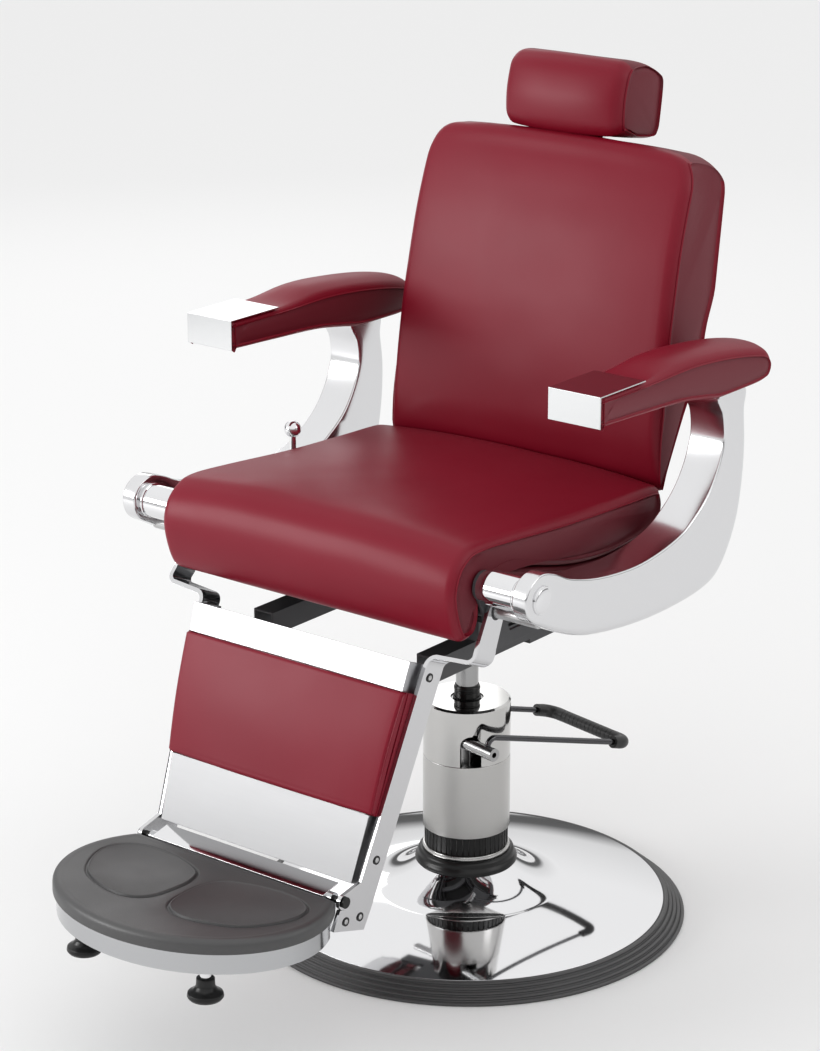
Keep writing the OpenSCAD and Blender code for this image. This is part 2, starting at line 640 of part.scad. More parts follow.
// Plate outside the cushion: a foot on the rear member's end, a bar that runs forwards and an
// upright that carries the barrel and the leg rest's hinge
tube_r = leg_pin_r + 3;
barrel_neck_r = barrel_r - 4;                // the barrel where the leg rest's strap swings past it
bracket_bar = [pan_z - 19, pan_z];           // lower and upper edge of the bar
module arm_bracket() difference() {
    union() {
        side_prism([[cross_rear[0], cross_z], [cross_rear[1], cross_z], [cross_rear[1], bracket_bar[0]],
            [cross_rear[0] + 6, bracket_bar[1]], [-leg_hinge_y + 40, bracket_bar[1]],
            [-leg_hinge_y + 21, leg_hinge_z], [-boss_y + barrel_neck_r, boss_z],
            [-boss_y - barrel_neck_r, boss_z], [-leg_hinge_y - 21, leg_hinge_z],
            [-leg_hinge_y - 12, bracket_bar[1]], [-leg_hinge_y + 6, bracket_bar[0]],
            [cross_rear[0] - 12, bracket_bar[0]], [cross_rear[0], bracket_bar[0] - 12]],
            bracket_x, bracket_x + bracket_t);
        bar_x(barrel_neck_r, bracket_x, bracket_x + bracket_t, -boss_y, boss_z);
    }
    bar_x(tube_r + 0.4, bracket_x - 1, bracket_x + bracket_t + 1, -leg_hinge_y, leg_hinge_z);
}

module arm_bracket_left() color("silver") arm_bracket();
module arm_bracket_right() color("silver") mirror([1, 0, 0]) arm_bracket();

strap_x = bracket_x + bracket_t + 1;         // inner face of the leg rest's straps
barrel_neck_x = strap_x + bar_t + 4;         // where the barrel swells beyond the strap
module arm_barrel() {
    swell = boss_inner_x - barrel_neck_x;
    bar_x(barrel_neck_r, bracket_x + bracket_t, barrel_neck_x + 1, -boss_y, boss_z);
    translate([barrel_neck_x, -boss_y, boss_z]) rotate([0, 90, 0]) rotate_extrude() polygon([
        [0, 0], [barrel_neck_r, 0], [barrel_r, 5], [barrel_r, swell - 8],
        [barrel_r + 1, swell - 5], [barrel_r + 1, swell], [0, swell]]);
}

module arm_barrel_left() color("silver") arm_barrel();
module arm_barrel_right() color("silver") mirror([1, 0, 0]) arm_barrel();

// ---- arm rests -----------------------------------------------------------------------

pad_front = -198;
pad_x = seat_half_w + pad_out;
pad_under = pad_top_z - pad_h;
pad_outline = closed_curve([
    [pad_front + 3, pad_top_z - 5], [pad_front + 3, pad_under + 6], [pad_front + 9, pad_under],
    [-100, pad_under - 4], [0, pad_under - 9], [60, arm_top_z + 6], [105, arm_top_z - 1],
    [170, arm_top_z - 2],
    [218, arm_top_z], [233, arm_top_z + 8], [237, 882], [226, 896], [200, 904], [150, 913], [90, 920],
    [20, 924],
    [-60, pad_top_z - 1.5], [pad_front + cap_l + 7, pad_top_z - 1.5],
    [pad_front + cap_l + 1, pad_top_z - 1.5],
    [pad_front + 9, pad_top_z - 1.5]], 2);

// Flat where the pad sits on the arm and under the chrome cap
function pad_seat(p) = [max(p[0], pad_front + seat_gap),
    p[0] > 40 ? max(p[1], arm_top_z + seat_gap) : p[0] < pad_front + cap_l + 2
        ? min(p[1], pad_top_z) : p[1]];

module arm_pad() translate([pad_x, 0, 0])
    pillow(pad_outline, pad_w / 2, 7, 14, [0, 1], steps = 4, fit = function(p) pad_seat(p));

module arm_pad_left() color("firebrick") arm_pad();
module arm_pad_right() color("firebrick") mirror([1, 0, 0]) arm_pad();

// Bent chrome sheet over the pad's front end
module arm_cap() translate([pad_x - pad_w / 2, 0, 0]) {
    translate([0, pad_front, pad_top_z + seat_gap]) cube([pad_w, cap_l, cap_t]);
    translate([0, pad_front - cap_t + seat_gap, pad_under]) cube([pad_w, cap_t, pad_h + seat_gap + cap_t]);
}

module arm_cap_left() color("silver") arm_cap();
module arm_cap_right() color("silver") mirror([1, 0, 0]) arm_cap();

// ---- hinges --------------------------------------------------------------------------

module leg_hinge_pins() color("silver") for (s = [0, 1]) mirror([s, 0, 0])
    bar_x(leg_pin_r, strap_x - 40, boss_inner_x + 7.5, -leg_hinge_y, leg_hinge_z);

module back_hinge_shaft() color("gray")
    bar_x(hinge_shaft_r, -arm_inner_x - shaft_in_arm, arm_inner_x + shaft_in_arm, back_hinge_y,
        back_hinge_z);

crank_t = 6;
crank_eye = 12;
crank_pin_r = 5;
link_eye_r = crank_pin_r + 3.5;
crank_dir = [sin(crank_set), -cos(crank_set)];
back_tip = [back_hinge_y, back_hinge_z] + crank_l * crank_dir;
leg_tip = [-leg_hinge_y, leg_hinge_z] + crank_l * crank_dir;

// A crank plate whose inner face is at x, from a hinge to its tip
module crank(hinge, tip, x) {
    d = unit(tip - hinge);
    n = [d[1], -d[0]];
    side_prism([hinge + n * crank_eye, tip + n * crank_eye, tip - n * crank_eye, hinge - n * crank_eye],
        x, x + crank_t);
    bar_x(crank_eye, x, x + crank_t, tip[0], tip[1]);
}

// Two rods that tie the back's cranks to the leg rest's cranks
module recline_link() color("dimgray") for (s = [0, 1]) mirror([s, 0, 0]) difference() {
    union() {
        side_prism([back_tip + [0, -6], back_tip + [0, 6], leg_tip + [0, 6], leg_tip + [0, -6]], link_x,
            link_x + 6);
        bar_x(link_eye_r, link_x, link_x + 6, back_tip[0], back_tip[1]);
        bar_x(link_eye_r, link_x, link_x + 6, leg_tip[0], leg_tip[1]);
    }
    bar_x(crank_pin_r + run_gap, link_x - 1, link_x + 7, back_tip[0], back_tip[1]);
    bar_x(crank_pin_r + 0.6, link_x - 1, link_x + 7, leg_tip[0], leg_tip[1]);
}

// ---- back ----------------------------------------------------------------------------

module back_frame_of() translate([0, back_hinge_y, back_hinge_z]) rotate([-back_lean, 0, 0]) children();

// Side outline of the back cushion in its own upright frame, hinge at the origin
back_outline = [for (p = closed_curve([
    [8, 52], [-3, 62], [-12, 92], [-19, 130], [-24, 190], [-26, 270], [-24, 330], [-20, 400], [-12, 460],
    [-3, 505], [4, back_l - 8], [18, back_l], [50, back_l], [78, back_l - 7], [back_t - 1, back_l - 30],
    [back_t, 460],
    [back_t, 370], [back_t, 290], [83, 232], [62, 178], [36, 122], [16, 78]], 2)) [min(p[0], back_t),
    p[1]]];

// The head end narrows a little, and its corners turn in
function back_narrow(p) =
    let (h = (p[1] - 60) / (back_l - 60), w = 1 - (1 - back_top_half_w / back_half_w) * h,
         c = max(0, (p[1] - (back_l - 58)) / 58))
    w * (1 - 0.17 * (1 - sqrt(max(0, 1 - c * c))));

module back_cushion() color("firebrick") back_frame_of()
    pillow(reversed(back_outline), back_half_w, 12, back_crown, [-1, 0.55],
        taper = function(p) back_narrow(p), edge = function(p) min(1, max(0.25, (p[1] - 40) / 120)));

shell_half = back_top_half_w - 12;
bar_y = back_t + seat_gap + 1.5 + head_bar_t / 2;        // the slide bar's centre plane
shell_low = 250;
module back_shell() color("black") back_frame_of() difference() {
    translate([-shell_half, back_t + seat_gap, shell_low])
        cube([2 * shell_half, shell_t, back_l - 60 - shell_low]);
    translate([-head_bar_w / 2 - run_gap, bar_y - head_bar_t / 2 - run_gap, back_l - 60 - head_bar_in - 12])
        cube([head_bar_w + 2 * run_gap, head_bar_t + 2 * run_gap, head_bar_in + 40]);
    for (s = [-1, 1]) translate([s * (lug_x - 16) - 6, back_t - 1, shell_low - 1]) cube([12, 8.6, 90]);
}

// Hinge tube with its cranks, and the two arms that carry the back
module back_frame() color("dimgray") {
    difference() {
        union() {
            bar_x(tube_r, 1 - side_plate_x, side_plate_x - 1, back_hinge_y, back_hinge_z);
            for (s = [0, 1]) mirror([s, 0, 0]) {
                crank([back_hinge_y, back_hinge_z], back_tip, link_x + 7);
                bar_x(crank_pin_r, link_x - 3, link_x + 8, back_tip[0], back_tip[1]);
            }
            back_frame_of() for (s = [-1, 1]) translate([s * (lug_x - 16) - 4, 0, 0]) side_prism([
                [-12, -8], [13, -8], [19, 28], [30, 72], [47, 113], [72, 168], [93, 226], [99, 288],
                [99, 330],
                [back_t + 0.8, 330], [back_t + 0.8, 290], [86, 231.6], [65, 177.6], [39, 121.6],
                [19, 77], [10, 46], [-12, 12]], 0, 8);
        }
        bar_x(hinge_shaft_r + run_gap, -lug_x, lug_x, back_hinge_y, back_hinge_z);
    }
}

// ---- head rest -----------------------------------------------------------------------

head_low = back_l + head_gap + 6;
head_top = head_low + head_h;
head_outline = closed_curve([
    [6, head_low + 8], [3, head_low + 45], [1, head_low + 80], [2, head_top - 7], [12, head_top],
    [40, head_top], [70, head_top - 4], [92, head_top - 12], [103, head_top - 20], [head_d, head_top - 36],
    [head_d + 1, head_low + 40], [head_d, head_low + 14], [head_d - 7, head_low + 2], [70, head_low],
    [35, head_low], [13, head_low + 1]], 2);

module headrest_pad() color("firebrick") back_frame_of() difference() {
    pillow(reversed(head_outline), head_half_w, 10, 10, [-1, 0], steps = 4);
    translate([-head_bar_w / 2 - seat_gap, bar_y - head_bar_t / 2 - seat_gap, head_low - 5])
        cube([head_bar_w + 2 * seat_gap, head_bar_t + 2 * seat_gap, 40]);
}

module headrest_bar() color("silver") back_frame_of()
    translate([-head_bar_w / 2, bar_y - head_bar_t / 2, back_l - 60 - head_bar_in])
        cube([head_bar_w, head_bar_t, head_low + 34.5 - back_l + 60 + head_bar_in]);

// ---- leg rest ------------------------------------------------------------------------

// Frame of the leg rest: hinge at the origin, bars hanging straight down
module leg_frame() translate([0, -leg_hinge_y, leg_hinge_z]) rotate([-leg_lean, 0, 0]) children();

bar_front = -34;                             // front edge of the side bars
bar_rear = bar_front + bar_w;
foot_z = -476;                               // lower end of the side bars
bend_z = -96;                                // where the bars bend outwards
out_z = -74;                                 // the outward run where it turns up
eye_r = 18;
strap_mid_x = strap_x + bar_t;               // outer face of the strap

// Front view of a bar: foot, slanting bar, outward run, upright strap
bar_path = concat([[bar_foot_x, foot_z], [bar_top_x, bend_z]],
    arc([bar_top_x + 12, bend_z + 1], 12, 172, 105, 4),
    arc([strap_mid_x - 12, out_z + 8], 14, -78, -5, 5),
    [[strap_mid_x, out_z + 22], [strap_mid_x, 30]]);

// Side view of a bar: the foot turned forwards, the bar, the wider strap with its round eye
bar_side = [[bar_front - 28, foot_z], [bar_rear - 2, foot_z + 6], [bar_rear, foot_z + 40],
    [bar_rear, bend_z + 2],
    [bar_rear + 13, out_z + 16], [eye_r + 1, 0], [-eye_r, 0], [bar_front + 11, out_z + 18],
    [bar_front, bend_z - 6],
    [bar_front, foot_z + 36], [bar_front - 28, foot_z + 31]];

module leg_bar() leg_frame() difference() {
    intersection() {
        translate([0, 60, 0]) rotate([90, 0, 0]) linear_extrude(160) polygon(strip(bar_path, -bar_t));
        union() {
            side_prism(bar_side, bar_foot_x - 20, strap_mid_x + 10);
            // ear round the foot platform's pin
            bar_x(foot_ear_r, bar_foot_x - 20, bar_foot_x + 20, foot_pivot[0], foot_pivot[1]);
            side_prism([foot_pivot + [-6, foot_ear_r - 2], [bar_front + 1, foot_pivot[1] + 30],
                [bar_front + 1, foot_z + 30], foot_pivot + [5, -12]], bar_foot_x - 20, bar_foot_x + 20);
            bar_x(eye_r, strap_x - 40, strap_mid_x + 10, 0, 0);
        }
    }
    bar_x(tube_r + run_gap, strap_x - 60, strap_mid_x + 12, 0, 0);
    bar_x(foot_pin_r + run_gap, bar_foot_x - 30, bar_foot_x + 20, foot_pivot[0], foot_pivot[1]);
}

module leg_bar_left() color("silver") leg_bar();
module leg_bar_right() color("silver") mirror([1, 0, 0]) leg_bar();

// Places of the screws on a bar, from the side, with the bar's outer face there
screw_places = [[-18, -111], [-14, -371], [-42, -460], [-13, -452]];
function bar_face(z) = bar_foot_x + (bar_top_x - bar_foot_x) * (z - foot_z) / (bend_z - foot_z);

module leg_screws() color("gray") leg_frame() for (s = [0, 1]) mirror([s, 0, 0]) for (p = screw_places)
    translate([bar_face(p[1]) + 0.4, p[0], p[1]]) rotate([0, 90, 0])
        cylinder(r1 = screw_r, r2 = screw_r - 1.6, h = 2.6);

module leg_hinge_tube() color("dimgray") {
    difference() {
        union() {
            bar_x(tube_r, -strap_mid_x, strap_mid_x, -leg_hinge_y, leg_hinge_z);
            for (s = [0, 1]) mirror([s, 0, 0]) {
                crank([-leg_hinge_y, leg_hinge_z], leg_tip, link_x + 7);
                bar_x(crank_pin_r, link_x - 3, link_x + 8, leg_tip[0], leg_tip[1]);
            }
        }
        bar_x(leg_pin_r + run_gap, -strap_mid_x - 1, strap_mid_x + 1, -leg_hinge_y, leg_hinge_z);
    }
}

panel_t = 2;
panel_slope = 0.054;                         // the panels lie back a little at their foot
top_panel = [-95, -137];
kick_panel = [-312, -409];
function panel_half(z) = bar_face(z) - bar_t - 6;
function panel_face(z) = bar_front - leg_panel_d + (top_panel[0] - z) * panel_slope;

// A chrome panel with side returns that reach back to the bars, wide at the top
module leg_panel(high, low) {
    a = panel_half(high);
    b = panel_half(low);
    intersection() {
        translate([0, 40, 0]) rotate([90, 0, 0]) linear_extrude(120)
            polygon([[-a, high], [a, high], [b, low], [-b, low]]);
        difference() {
            side_prism([[panel_face(low), low], [bar_rear - 8, low], [bar_rear - 8, high],
                [panel_face(high), high]], -a, a);
            side_prism([[panel_face(low) + panel_t, low - 1], [90, low - 1], [90, high + 1],
                [panel_face(high) + panel_t, high + 1]], -b + 3, b - 3);
        }
    }
    // flanges that meet the bars
    for (s = [-1, 1]) translate([s > 0 ? b - 4 : -a - 5, bar_front + 8, low])
        cube([a - b + 9, 20, high - low]);
}

module leg_top_panel() color("silver") leg_frame() intersection() {
    leg_panel(top_panel[0], top_panel[1]);
    bars_inside();
}

module leg_kick_plate() color("silver") leg_frame() intersection() {
    leg_panel(kick_panel[0], kick_panel[1]);
    bars_inside();
}

// The space between the two side bars' inner faces
module bars_inside() {
    g = bar_t + seat_gap + 0.1;
    translate([0, 60, 0]) rotate([90, 0, 0]) linear_extrude(200) polygon([
        [-bar_face(-500) + g, -500], [bar_face(-500) - g, -500], [bar_face(-90) - g, -90],
        [-bar_face(-90) + g, -90]]);
}

module calf_board() color("burlywood") leg_frame() intersection() {
    side_prism([[panel_face(kick_panel[0]) + 8, kick_panel[0] + seat_gap],
        [bar_rear - 12, kick_panel[0] + seat_gap],
        [bar_rear - 12, top_panel[1] - seat_gap],
        [panel_face(top_panel[1]) + 8, top_panel[1] - seat_gap]], -210, 210);
    bars_inside();
}

// Side outline of the calf pad: rolled edges, its rear face on the board
calf_high = top_panel[1] - seat_gap;
calf_low = kick_panel[0] + seat_gap;
function calf_point(d, z) = [panel_face(z) + d, z];
calf_outline = [calf_point(7.7, calf_low), calf_point(3, calf_low),
    calf_point(0.5 - calf_stand, calf_low + 2),
    calf_point(-calf_stand - 0.5, calf_low + 8), for (k = [0 : 9])
        calf_point(-calf_stand - 1 - 0.8 * sin(20 * k),
            calf_low + 16 + (calf_high - calf_low - 32) * k / 9),
    calf_point(-calf_stand - 0.5, calf_high - 8), calf_point(0.5 - calf_stand, calf_high - 2),
    calf_point(3, calf_high), calf_point(7.7, calf_high)];
calf_half = 199;

module calf_pad() color("firebrick") leg_frame()
    pillow(reversed(calf_outline), calf_half, 4, calf_crown, [-1, 0], steps = 3,
        taper = function(p) (panel_half(p[1]) + 5) / calf_half,
        fit = function(p) [min(p[0], panel_face(p[1]) + 8 - seat_gap),
            min(max(p[1], calf_low), calf_high)]);

// ---- foot platform -------------------------------------------------------------------

foot_pivot = [-58, -433];                    // in the leg rest's frame
foot_pin_r = 5;
foot_ear_r = 11;
// The same point in the chair's frame
foot_pivot_y = -leg_hinge_y + foot_pivot[0] * cos(leg_lean) + foot_pivot[1] * sin(leg_lean);
foot_pivot_z = leg_hinge_z - foot_pivot[0] * sin(leg_lean) + foot_pivot[1] * cos(leg_lean);
mat_top_z = foot_pivot_z + 8;
foot_rear_y = foot_pivot_y - 13;
foot_tilt = 2;
foot_low = mat_top_z - mat_t - band_h;       // underside of the chrome band

// Plan of the platform: an ellipse cut off by a straight rear edge
function foot_plan(inset) = let (
    cut = sqrt(1 - pow(foot_rear_half / foot_rx, 2)),
    ry = foot_d / (1 + cut), a0 = asin(cut))
    [for (k = [0 : 48]) let (a = -a0 + (180 + 2 * a0) * k / 48)
        [(foot_rx - inset) * cos(a), -(ry * cut + (ry - inset) * sin(a)) - (k == 0 || k == 48
        ? inset * (1 - cut) : 0)]];

module foot_frame() translate([0, foot_rear_y, mat_top_z]) rotate([-foot_tilt, 0, 0]) children();

// Edge rounding of the mat, in steps that follow a quarter circle
mat_round = 9;
module foot_mat() color("dimgray") foot_frame() difference() {
    union() {
        translate([0, 0, -mat_t]) linear_extrude(mat_t - mat_round + 0.01) polygon(foot_plan(0));
        for (k = [0 : 3]) {
            a = 90 * (k + 1) / 4.5;
            b = 90 * k / 4.5;
            translate([0, 0, -mat_round + mat_round * sin(b)])
                linear_extrude(mat_round * (sin(a) - sin(b)) + 0.01)
                    polygon(foot_plan(mat_round * (1 - cos((a + b) / 2))));
        }
    }
    // raised-edge oval outlines as grooves, one for each foot
    for (s = [-1, 1]) translate([s * 96, -foot_d * 0.44, -mat_round * 0.02 - 3.5]) rotate(s * 12)
        difference() {
        scale([1.22, 1, 1]) cylinder(r = 66, h = 8, $fn = 48);
        translate([0, 0, -1]) scale([1.22, 1, 1]) cylinder(r = 62.5, h = 10, $fn = 48);
    }
}

hinge_leaf_x = 160;
module foot_pan() color("silver") {
    foot_frame() {
        difference() {
            translate([0, 0, -mat_t - band_h]) linear_extrude(band_h - seat_gap) polygon(foot_plan(5));
            translate([0, 0, -mat_t - band_h - 1]) linear_extrude(band_h - 2)
                polygon(foot_plan(5 + band_wall));
        }
        for (s = [-1, 1]) translate([s * stud_x, -foot_d * 0.72, -mat_t - band_h + 6])
            cylinder(r = stud_r + 5, h = band_h - 8);
    }
    // hinge leaf behind the mat, and the two ears on the pivot pins
    difference() {
        union() {
            side_prism([[foot_rear_y - 12, foot_low + 4], [foot_rear_y + 4, foot_low + 4],
                [foot_pivot_y + 4, foot_pivot_z - 4],
                [foot_pivot_y + 4, foot_pivot_z + 2], [foot_rear_y + 1, foot_pivot_z + 2],
                [foot_rear_y + 1, foot_low + 8],
                [foot_rear_y - 12, foot_low + 8]], -hinge_leaf_x, hinge_leaf_x);
            for (s = [-1, 1]) {
                bar_x(9, s > 0 ? hinge_leaf_x - 4 : -hinge_leaf_x - 8, s > 0
                    ? hinge_leaf_x + 8 : -hinge_leaf_x + 4,
                    foot_pivot_y, foot_pivot_z);
                side_prism([[foot_rear_y - 12, foot_low + 4], [foot_rear_y + 6, foot_low + 4],
                    [foot_pivot_y + 9, foot_pivot_z],
                    [foot_rear_y + 3, foot_pivot_z], [foot_rear_y + 1, foot_low + 18],
                    [foot_rear_y - 12, foot_low + 18]],
                    s > 0 ? hinge_leaf_x - 4 : -hinge_leaf_x - 8, s > 0
                        ? hinge_leaf_x + 8 : -hinge_leaf_x + 4);
            }
        }
        bar_x(foot_pin_r + run_gap, -hinge_leaf_x - 20, hinge_leaf_x + 20, foot_pivot_y, foot_pivot_z);
    }
}

module foot_hinge_pins() color("black") for (s = [0, 1]) mirror([s, 0, 0]) {
    bar_x(foot_pin_r, hinge_leaf_x - 3, bar_face(foot_pivot[1]) + 1, foot_pivot_y, foot_pivot_z);
    bar_x(foot_pin_r + 3, bar_face(foot_pivot[1]) + 0.6, bar_face(foot_pivot[1]) + 4, foot_pivot_y,
        foot_pivot_z);
}

module foot_studs() color("silver") foot_frame() for (s = [-1, 1])
    translate([s * stud_x, -foot_d * 0.72, -mat_t - band_h - 34]) cylinder(r = stud_r, h = 40 - seat_gap);

module foot_tips() color("black") foot_frame() for (s = [-1, 1])
    translate([s * stud_x, -foot_d * 0.72, -mat_t - band_h - 34 - tip_h + 14]) difference() {
        rotate_extrude() polygon([[0, 0], [tip_r - 3, 0], [tip_r, 4], [tip_r - 1, 9], [tip_r - 8, 13],
            [13, 19],
            [12.5, tip_h - 1], [11, tip_h], [0, tip_h]]);
        translate([0, 0, tip_h - 14]) cylinder(r = stud_r + 0.02, h = 20);
    }

// ---- recline lever -------------------------------------------------------------------

module recline_lever() color("silver") {
    translate([-knob_x, -knob_y, knob_pivot_z]) cylinder(r = 5, h = knob_z - knob_pivot_z - knob_r + 3);
    bar_x(9, -knob_x - 5, -knob_x + 5, -knob_y, knob_pivot_z);
    bar_x(knob_pivot_r, -knob_x, bracket_ear_t - bracket_ear_x + 2, -knob_y, knob_pivot_z);
}

module recline_knob() color("silver") translate([-knob_x, -knob_y, knob_z]) difference() {
    sphere(r = knob_r);
    translate([0, 0, -knob_r - 1]) cylinder(r = 5.02, h = 4.1);
}

base_ballast();
base_dome();
base_rim();
base_collar();
pump_body();
pump_bolts();
cover_skirt();
cover_lower();
cover_upper();
gland_nut();
lever_shaft();
lever_loop();
lever_grip();
pump_plunger();
lifting_ram();
swivel_hub();
seat_rails();
front_cross_member();
rear_cross_member();
side_plates();
lever_bracket();
seat_pan();
seat_box();
seat_cushion();
arm_bracket_left();
arm_bracket_right();
arm_barrel_left();
arm_barrel_right();
arm_left();
arm_right();
arm_spacers();
boss_caps();
arm_pad_left();
arm_pad_right();
arm_cap_left();
arm_cap_right();
leg_hinge_pins();
back_hinge_shaft();
back_cushion();
back_shell();
back_frame();
headrest_bar();
headrest_pad();
recline_link();
leg_hinge_tube();
leg_bar_left();
leg_bar_right();
leg_screws();
leg_top_panel();
leg_kick_plate();
calf_board();
calf_pad();
foot_pan();
foot_hinge_pins();
foot_mat();
foot_studs();
foot_tips();
recline_lever();
recline_knob();
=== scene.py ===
import json
import math

import bmesh
import bpy
import numpy as np
from mathutils import Matrix, Vector
from mathutils import geometry
from mathutils import noise as mathNoise


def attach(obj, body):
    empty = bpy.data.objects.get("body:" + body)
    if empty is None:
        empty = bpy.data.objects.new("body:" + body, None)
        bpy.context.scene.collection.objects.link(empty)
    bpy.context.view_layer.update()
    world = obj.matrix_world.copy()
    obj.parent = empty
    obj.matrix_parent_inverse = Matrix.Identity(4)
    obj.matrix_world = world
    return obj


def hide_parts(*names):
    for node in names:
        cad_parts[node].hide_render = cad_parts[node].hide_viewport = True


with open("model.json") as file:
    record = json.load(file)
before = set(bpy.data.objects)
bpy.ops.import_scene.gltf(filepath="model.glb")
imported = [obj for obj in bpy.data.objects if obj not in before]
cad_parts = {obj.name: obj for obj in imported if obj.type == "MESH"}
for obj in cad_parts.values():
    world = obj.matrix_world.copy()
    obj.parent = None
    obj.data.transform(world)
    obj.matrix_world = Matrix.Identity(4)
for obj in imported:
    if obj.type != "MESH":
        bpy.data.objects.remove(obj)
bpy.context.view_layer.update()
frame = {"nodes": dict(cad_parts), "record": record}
print("frame loaded")

mm = 0.001  # one millimetre in the scene's metres
crease = 34  # degrees past which an edge of turned or formed metal is hard
sides = ((1, "left"), (-1, "right"))

cameraSet = {"azimuth": 38.22, "pitch": 18.36, "place": (2.545, -3.371, 2.021), "lens": 102.86}


def makeCamera():
    data = bpy.data.cameras.new("camera")
    data.lens = cameraSet["lens"]
    cam = bpy.data.objects.new("camera", data)
    cam.location = cameraSet["place"]
    turn = (90 - cameraSet["pitch"], 0, cameraSet["azimuth"])
    cam.rotation_euler = [math.radians(angle) for angle in turn]
    bpy.context.scene.collection.objects.link(cam)
    bpy.context.scene.camera = cam


studio = {
    "lamps": {
        "softboxLeft": {"place": (-2.6, -3.3, 1.56), "size": (2.8, 1.2), "power": 56,
                        "aim": (0, -0.1, 1.05)},
        "softboxBack": {"place": (-3.6, 3.3, 2.2), "size": (2.0, 1.2), "power": 7,
                        "aim": (0, 0, 0.7)},
        "softboxRight": {"place": (3.7, 1.2, 2.2), "size": (1.6, 2.2), "power": 12,
                         "aim": (0, 0, 0.7)},
    },
    # brightness of the room from straight down to straight up
    "room": [(0.0, 0.7), (0.5, 0.6), (0.506, 0.12), (0.545, 0.14), (0.59, 0.7), (0.7, 0.86),
             (1.0, 0.9)],
    "floor": 0.83, "floorRough": 0.9, "floorHalf": 16,
}


def makeLights():
    for name, s in studio["lamps"].items():
        data = bpy.data.lights.new(name, "AREA")
        data.shape = "RECTANGLE"
        data.size, data.size_y = s["size"]
        data.energy = s["power"]
        lamp = bpy.data.objects.new(name, data)
        lamp.location = s["place"]
        way = Vector(s["aim"]) - Vector(s["place"])
        lamp.rotation_euler = way.to_track_quat("-Z", "Y").to_euler()
        bpy.context.scene.collection.objects.link(lamp)


def makeRoom():
    # grey surroundings whose brightness changes with height alone, and the view's contrast
    world = bpy.data.worlds.new("studio")
    world.use_nodes = True
    tree = world.node_tree
    link = tree.links.new
    back = tree.nodes["Background"]
    coord = tree.nodes.new("ShaderNodeTexCoord")
    split = tree.nodes.new("ShaderNodeSeparateXYZ")
    ramp = tree.nodes.new("ShaderNodeValToRGB")
    half = tree.nodes.new("ShaderNodeMapRange")
    half.inputs["From Min"].default_value = -1
    link(coord.outputs["Generated"], split.inputs[0])
    link(split.outputs["Z"], half.inputs["Value"])
    link(half.outputs["Result"], ramp.inputs["Fac"])
    stops = studio["room"]
    while len(ramp.color_ramp.elements) < len(stops):
        ramp.color_ramp.elements.new(0.5)
    for stop, (at, grey) in zip(ramp.color_ramp.elements, stops):
        stop.position = at
        stop.color = (grey, grey, grey, 1)
    link(ramp.outputs["Color"], back.inputs["Color"])
    back.inputs["Strength"].default_value = 1.0
    bpy.context.scene.world = world
    view = bpy.context.scene.view_settings
    view.view_transform = "Standard"
    view.look = "Medium High Contrast"


def makeFloor():
    mesh = bpy.data.meshes.new("floor")
    r = studio["floorHalf"]
    mesh.from_pydata([(-r, -r, 0), (r, -r, 0), (r, r, 0), (-r, r, 0)], [], [(0, 1, 2, 3)])
    floor = bpy.data.objects.new("floor", mesh)
    bpy.context.scene.collection.objects.link(floor)
    mat = bpy.data.materials.new("floor")
    mat.use_nodes = True
    shader = mat.node_tree.nodes["Principled BSDF"]
    shader.inputs["Base Color"].default_value = (*[studio["floor"]] * 3, 1)
    shader.inputs["Roughness"].default_value = studio["floorRough"]
    mesh.materials.append(mat)


makeCamera()
makeLights()
makeRoom()
makeFloor()
print("camera, lights and floor")


def newGroup(name, inputs, outputs):
    tree = bpy.data.node_groups.new(name, "ShaderNodeTree")
    for label, kind, value in inputs:
        sock = tree.interface.new_socket(name=label, in_out="INPUT", socket_type=kind)
        sock.default_value = value
    for label, kind in outputs:
        tree.interface.new_socket(name=label, in_out="OUTPUT", socket_type=kind)
    start = tree.nodes.new("NodeGroupInput")
    end = tree.nodes.new("NodeGroupOutput")
    return tree, start, end


def mathNode(tree, operation, a, b):
    node = tree.nodes.new("ShaderNodeMath")
    node.operation = operation
    tree.links.new(a, node.inputs[0])
    tree.links.new(b, node.inputs[1])
    return node.outputs[0]


def makeGrainGroup():
    # pebbled skin with soft uneven tone: height for a bump and a mask of lighter spots
    tree, start, end = newGroup(
        "grain",
        [("Scale", "NodeSocketFloat", 900.0), ("Unevenness", "NodeSocketFloat", 4.0)],
        [("Height", "NodeSocketFloat"), ("Tone", "NodeSocketFloat")])
    link = tree.links.new
    coord = tree.nodes.new("ShaderNodeTexCoord")
    cells = tree.nodes.new("ShaderNodeTexVoronoi")
    cells.feature = "SMOOTH_F1"
    fine = tree.nodes.new("ShaderNodeTexNoise")
    fine.inputs["Detail"].default_value = 3
    broad = tree.nodes.new("ShaderNodeTexNoise")
    broad.inputs["Detail"].default_value = 4
    for texture, size in ((cells, "Scale"), (fine, "Scale"), (broad, "Unevenness")):
        link(coord.outputs["Object"], texture.inputs["Vector"])
        link(start.outputs[size], texture.inputs["Scale"])
    height = mathNode(tree, "ADD", cells.outputs["Distance"], fine.outputs["Fac"])
    link(height, end.inputs["Height"])
    link(broad.outputs["Fac"], end.inputs["Tone"])
    return tree


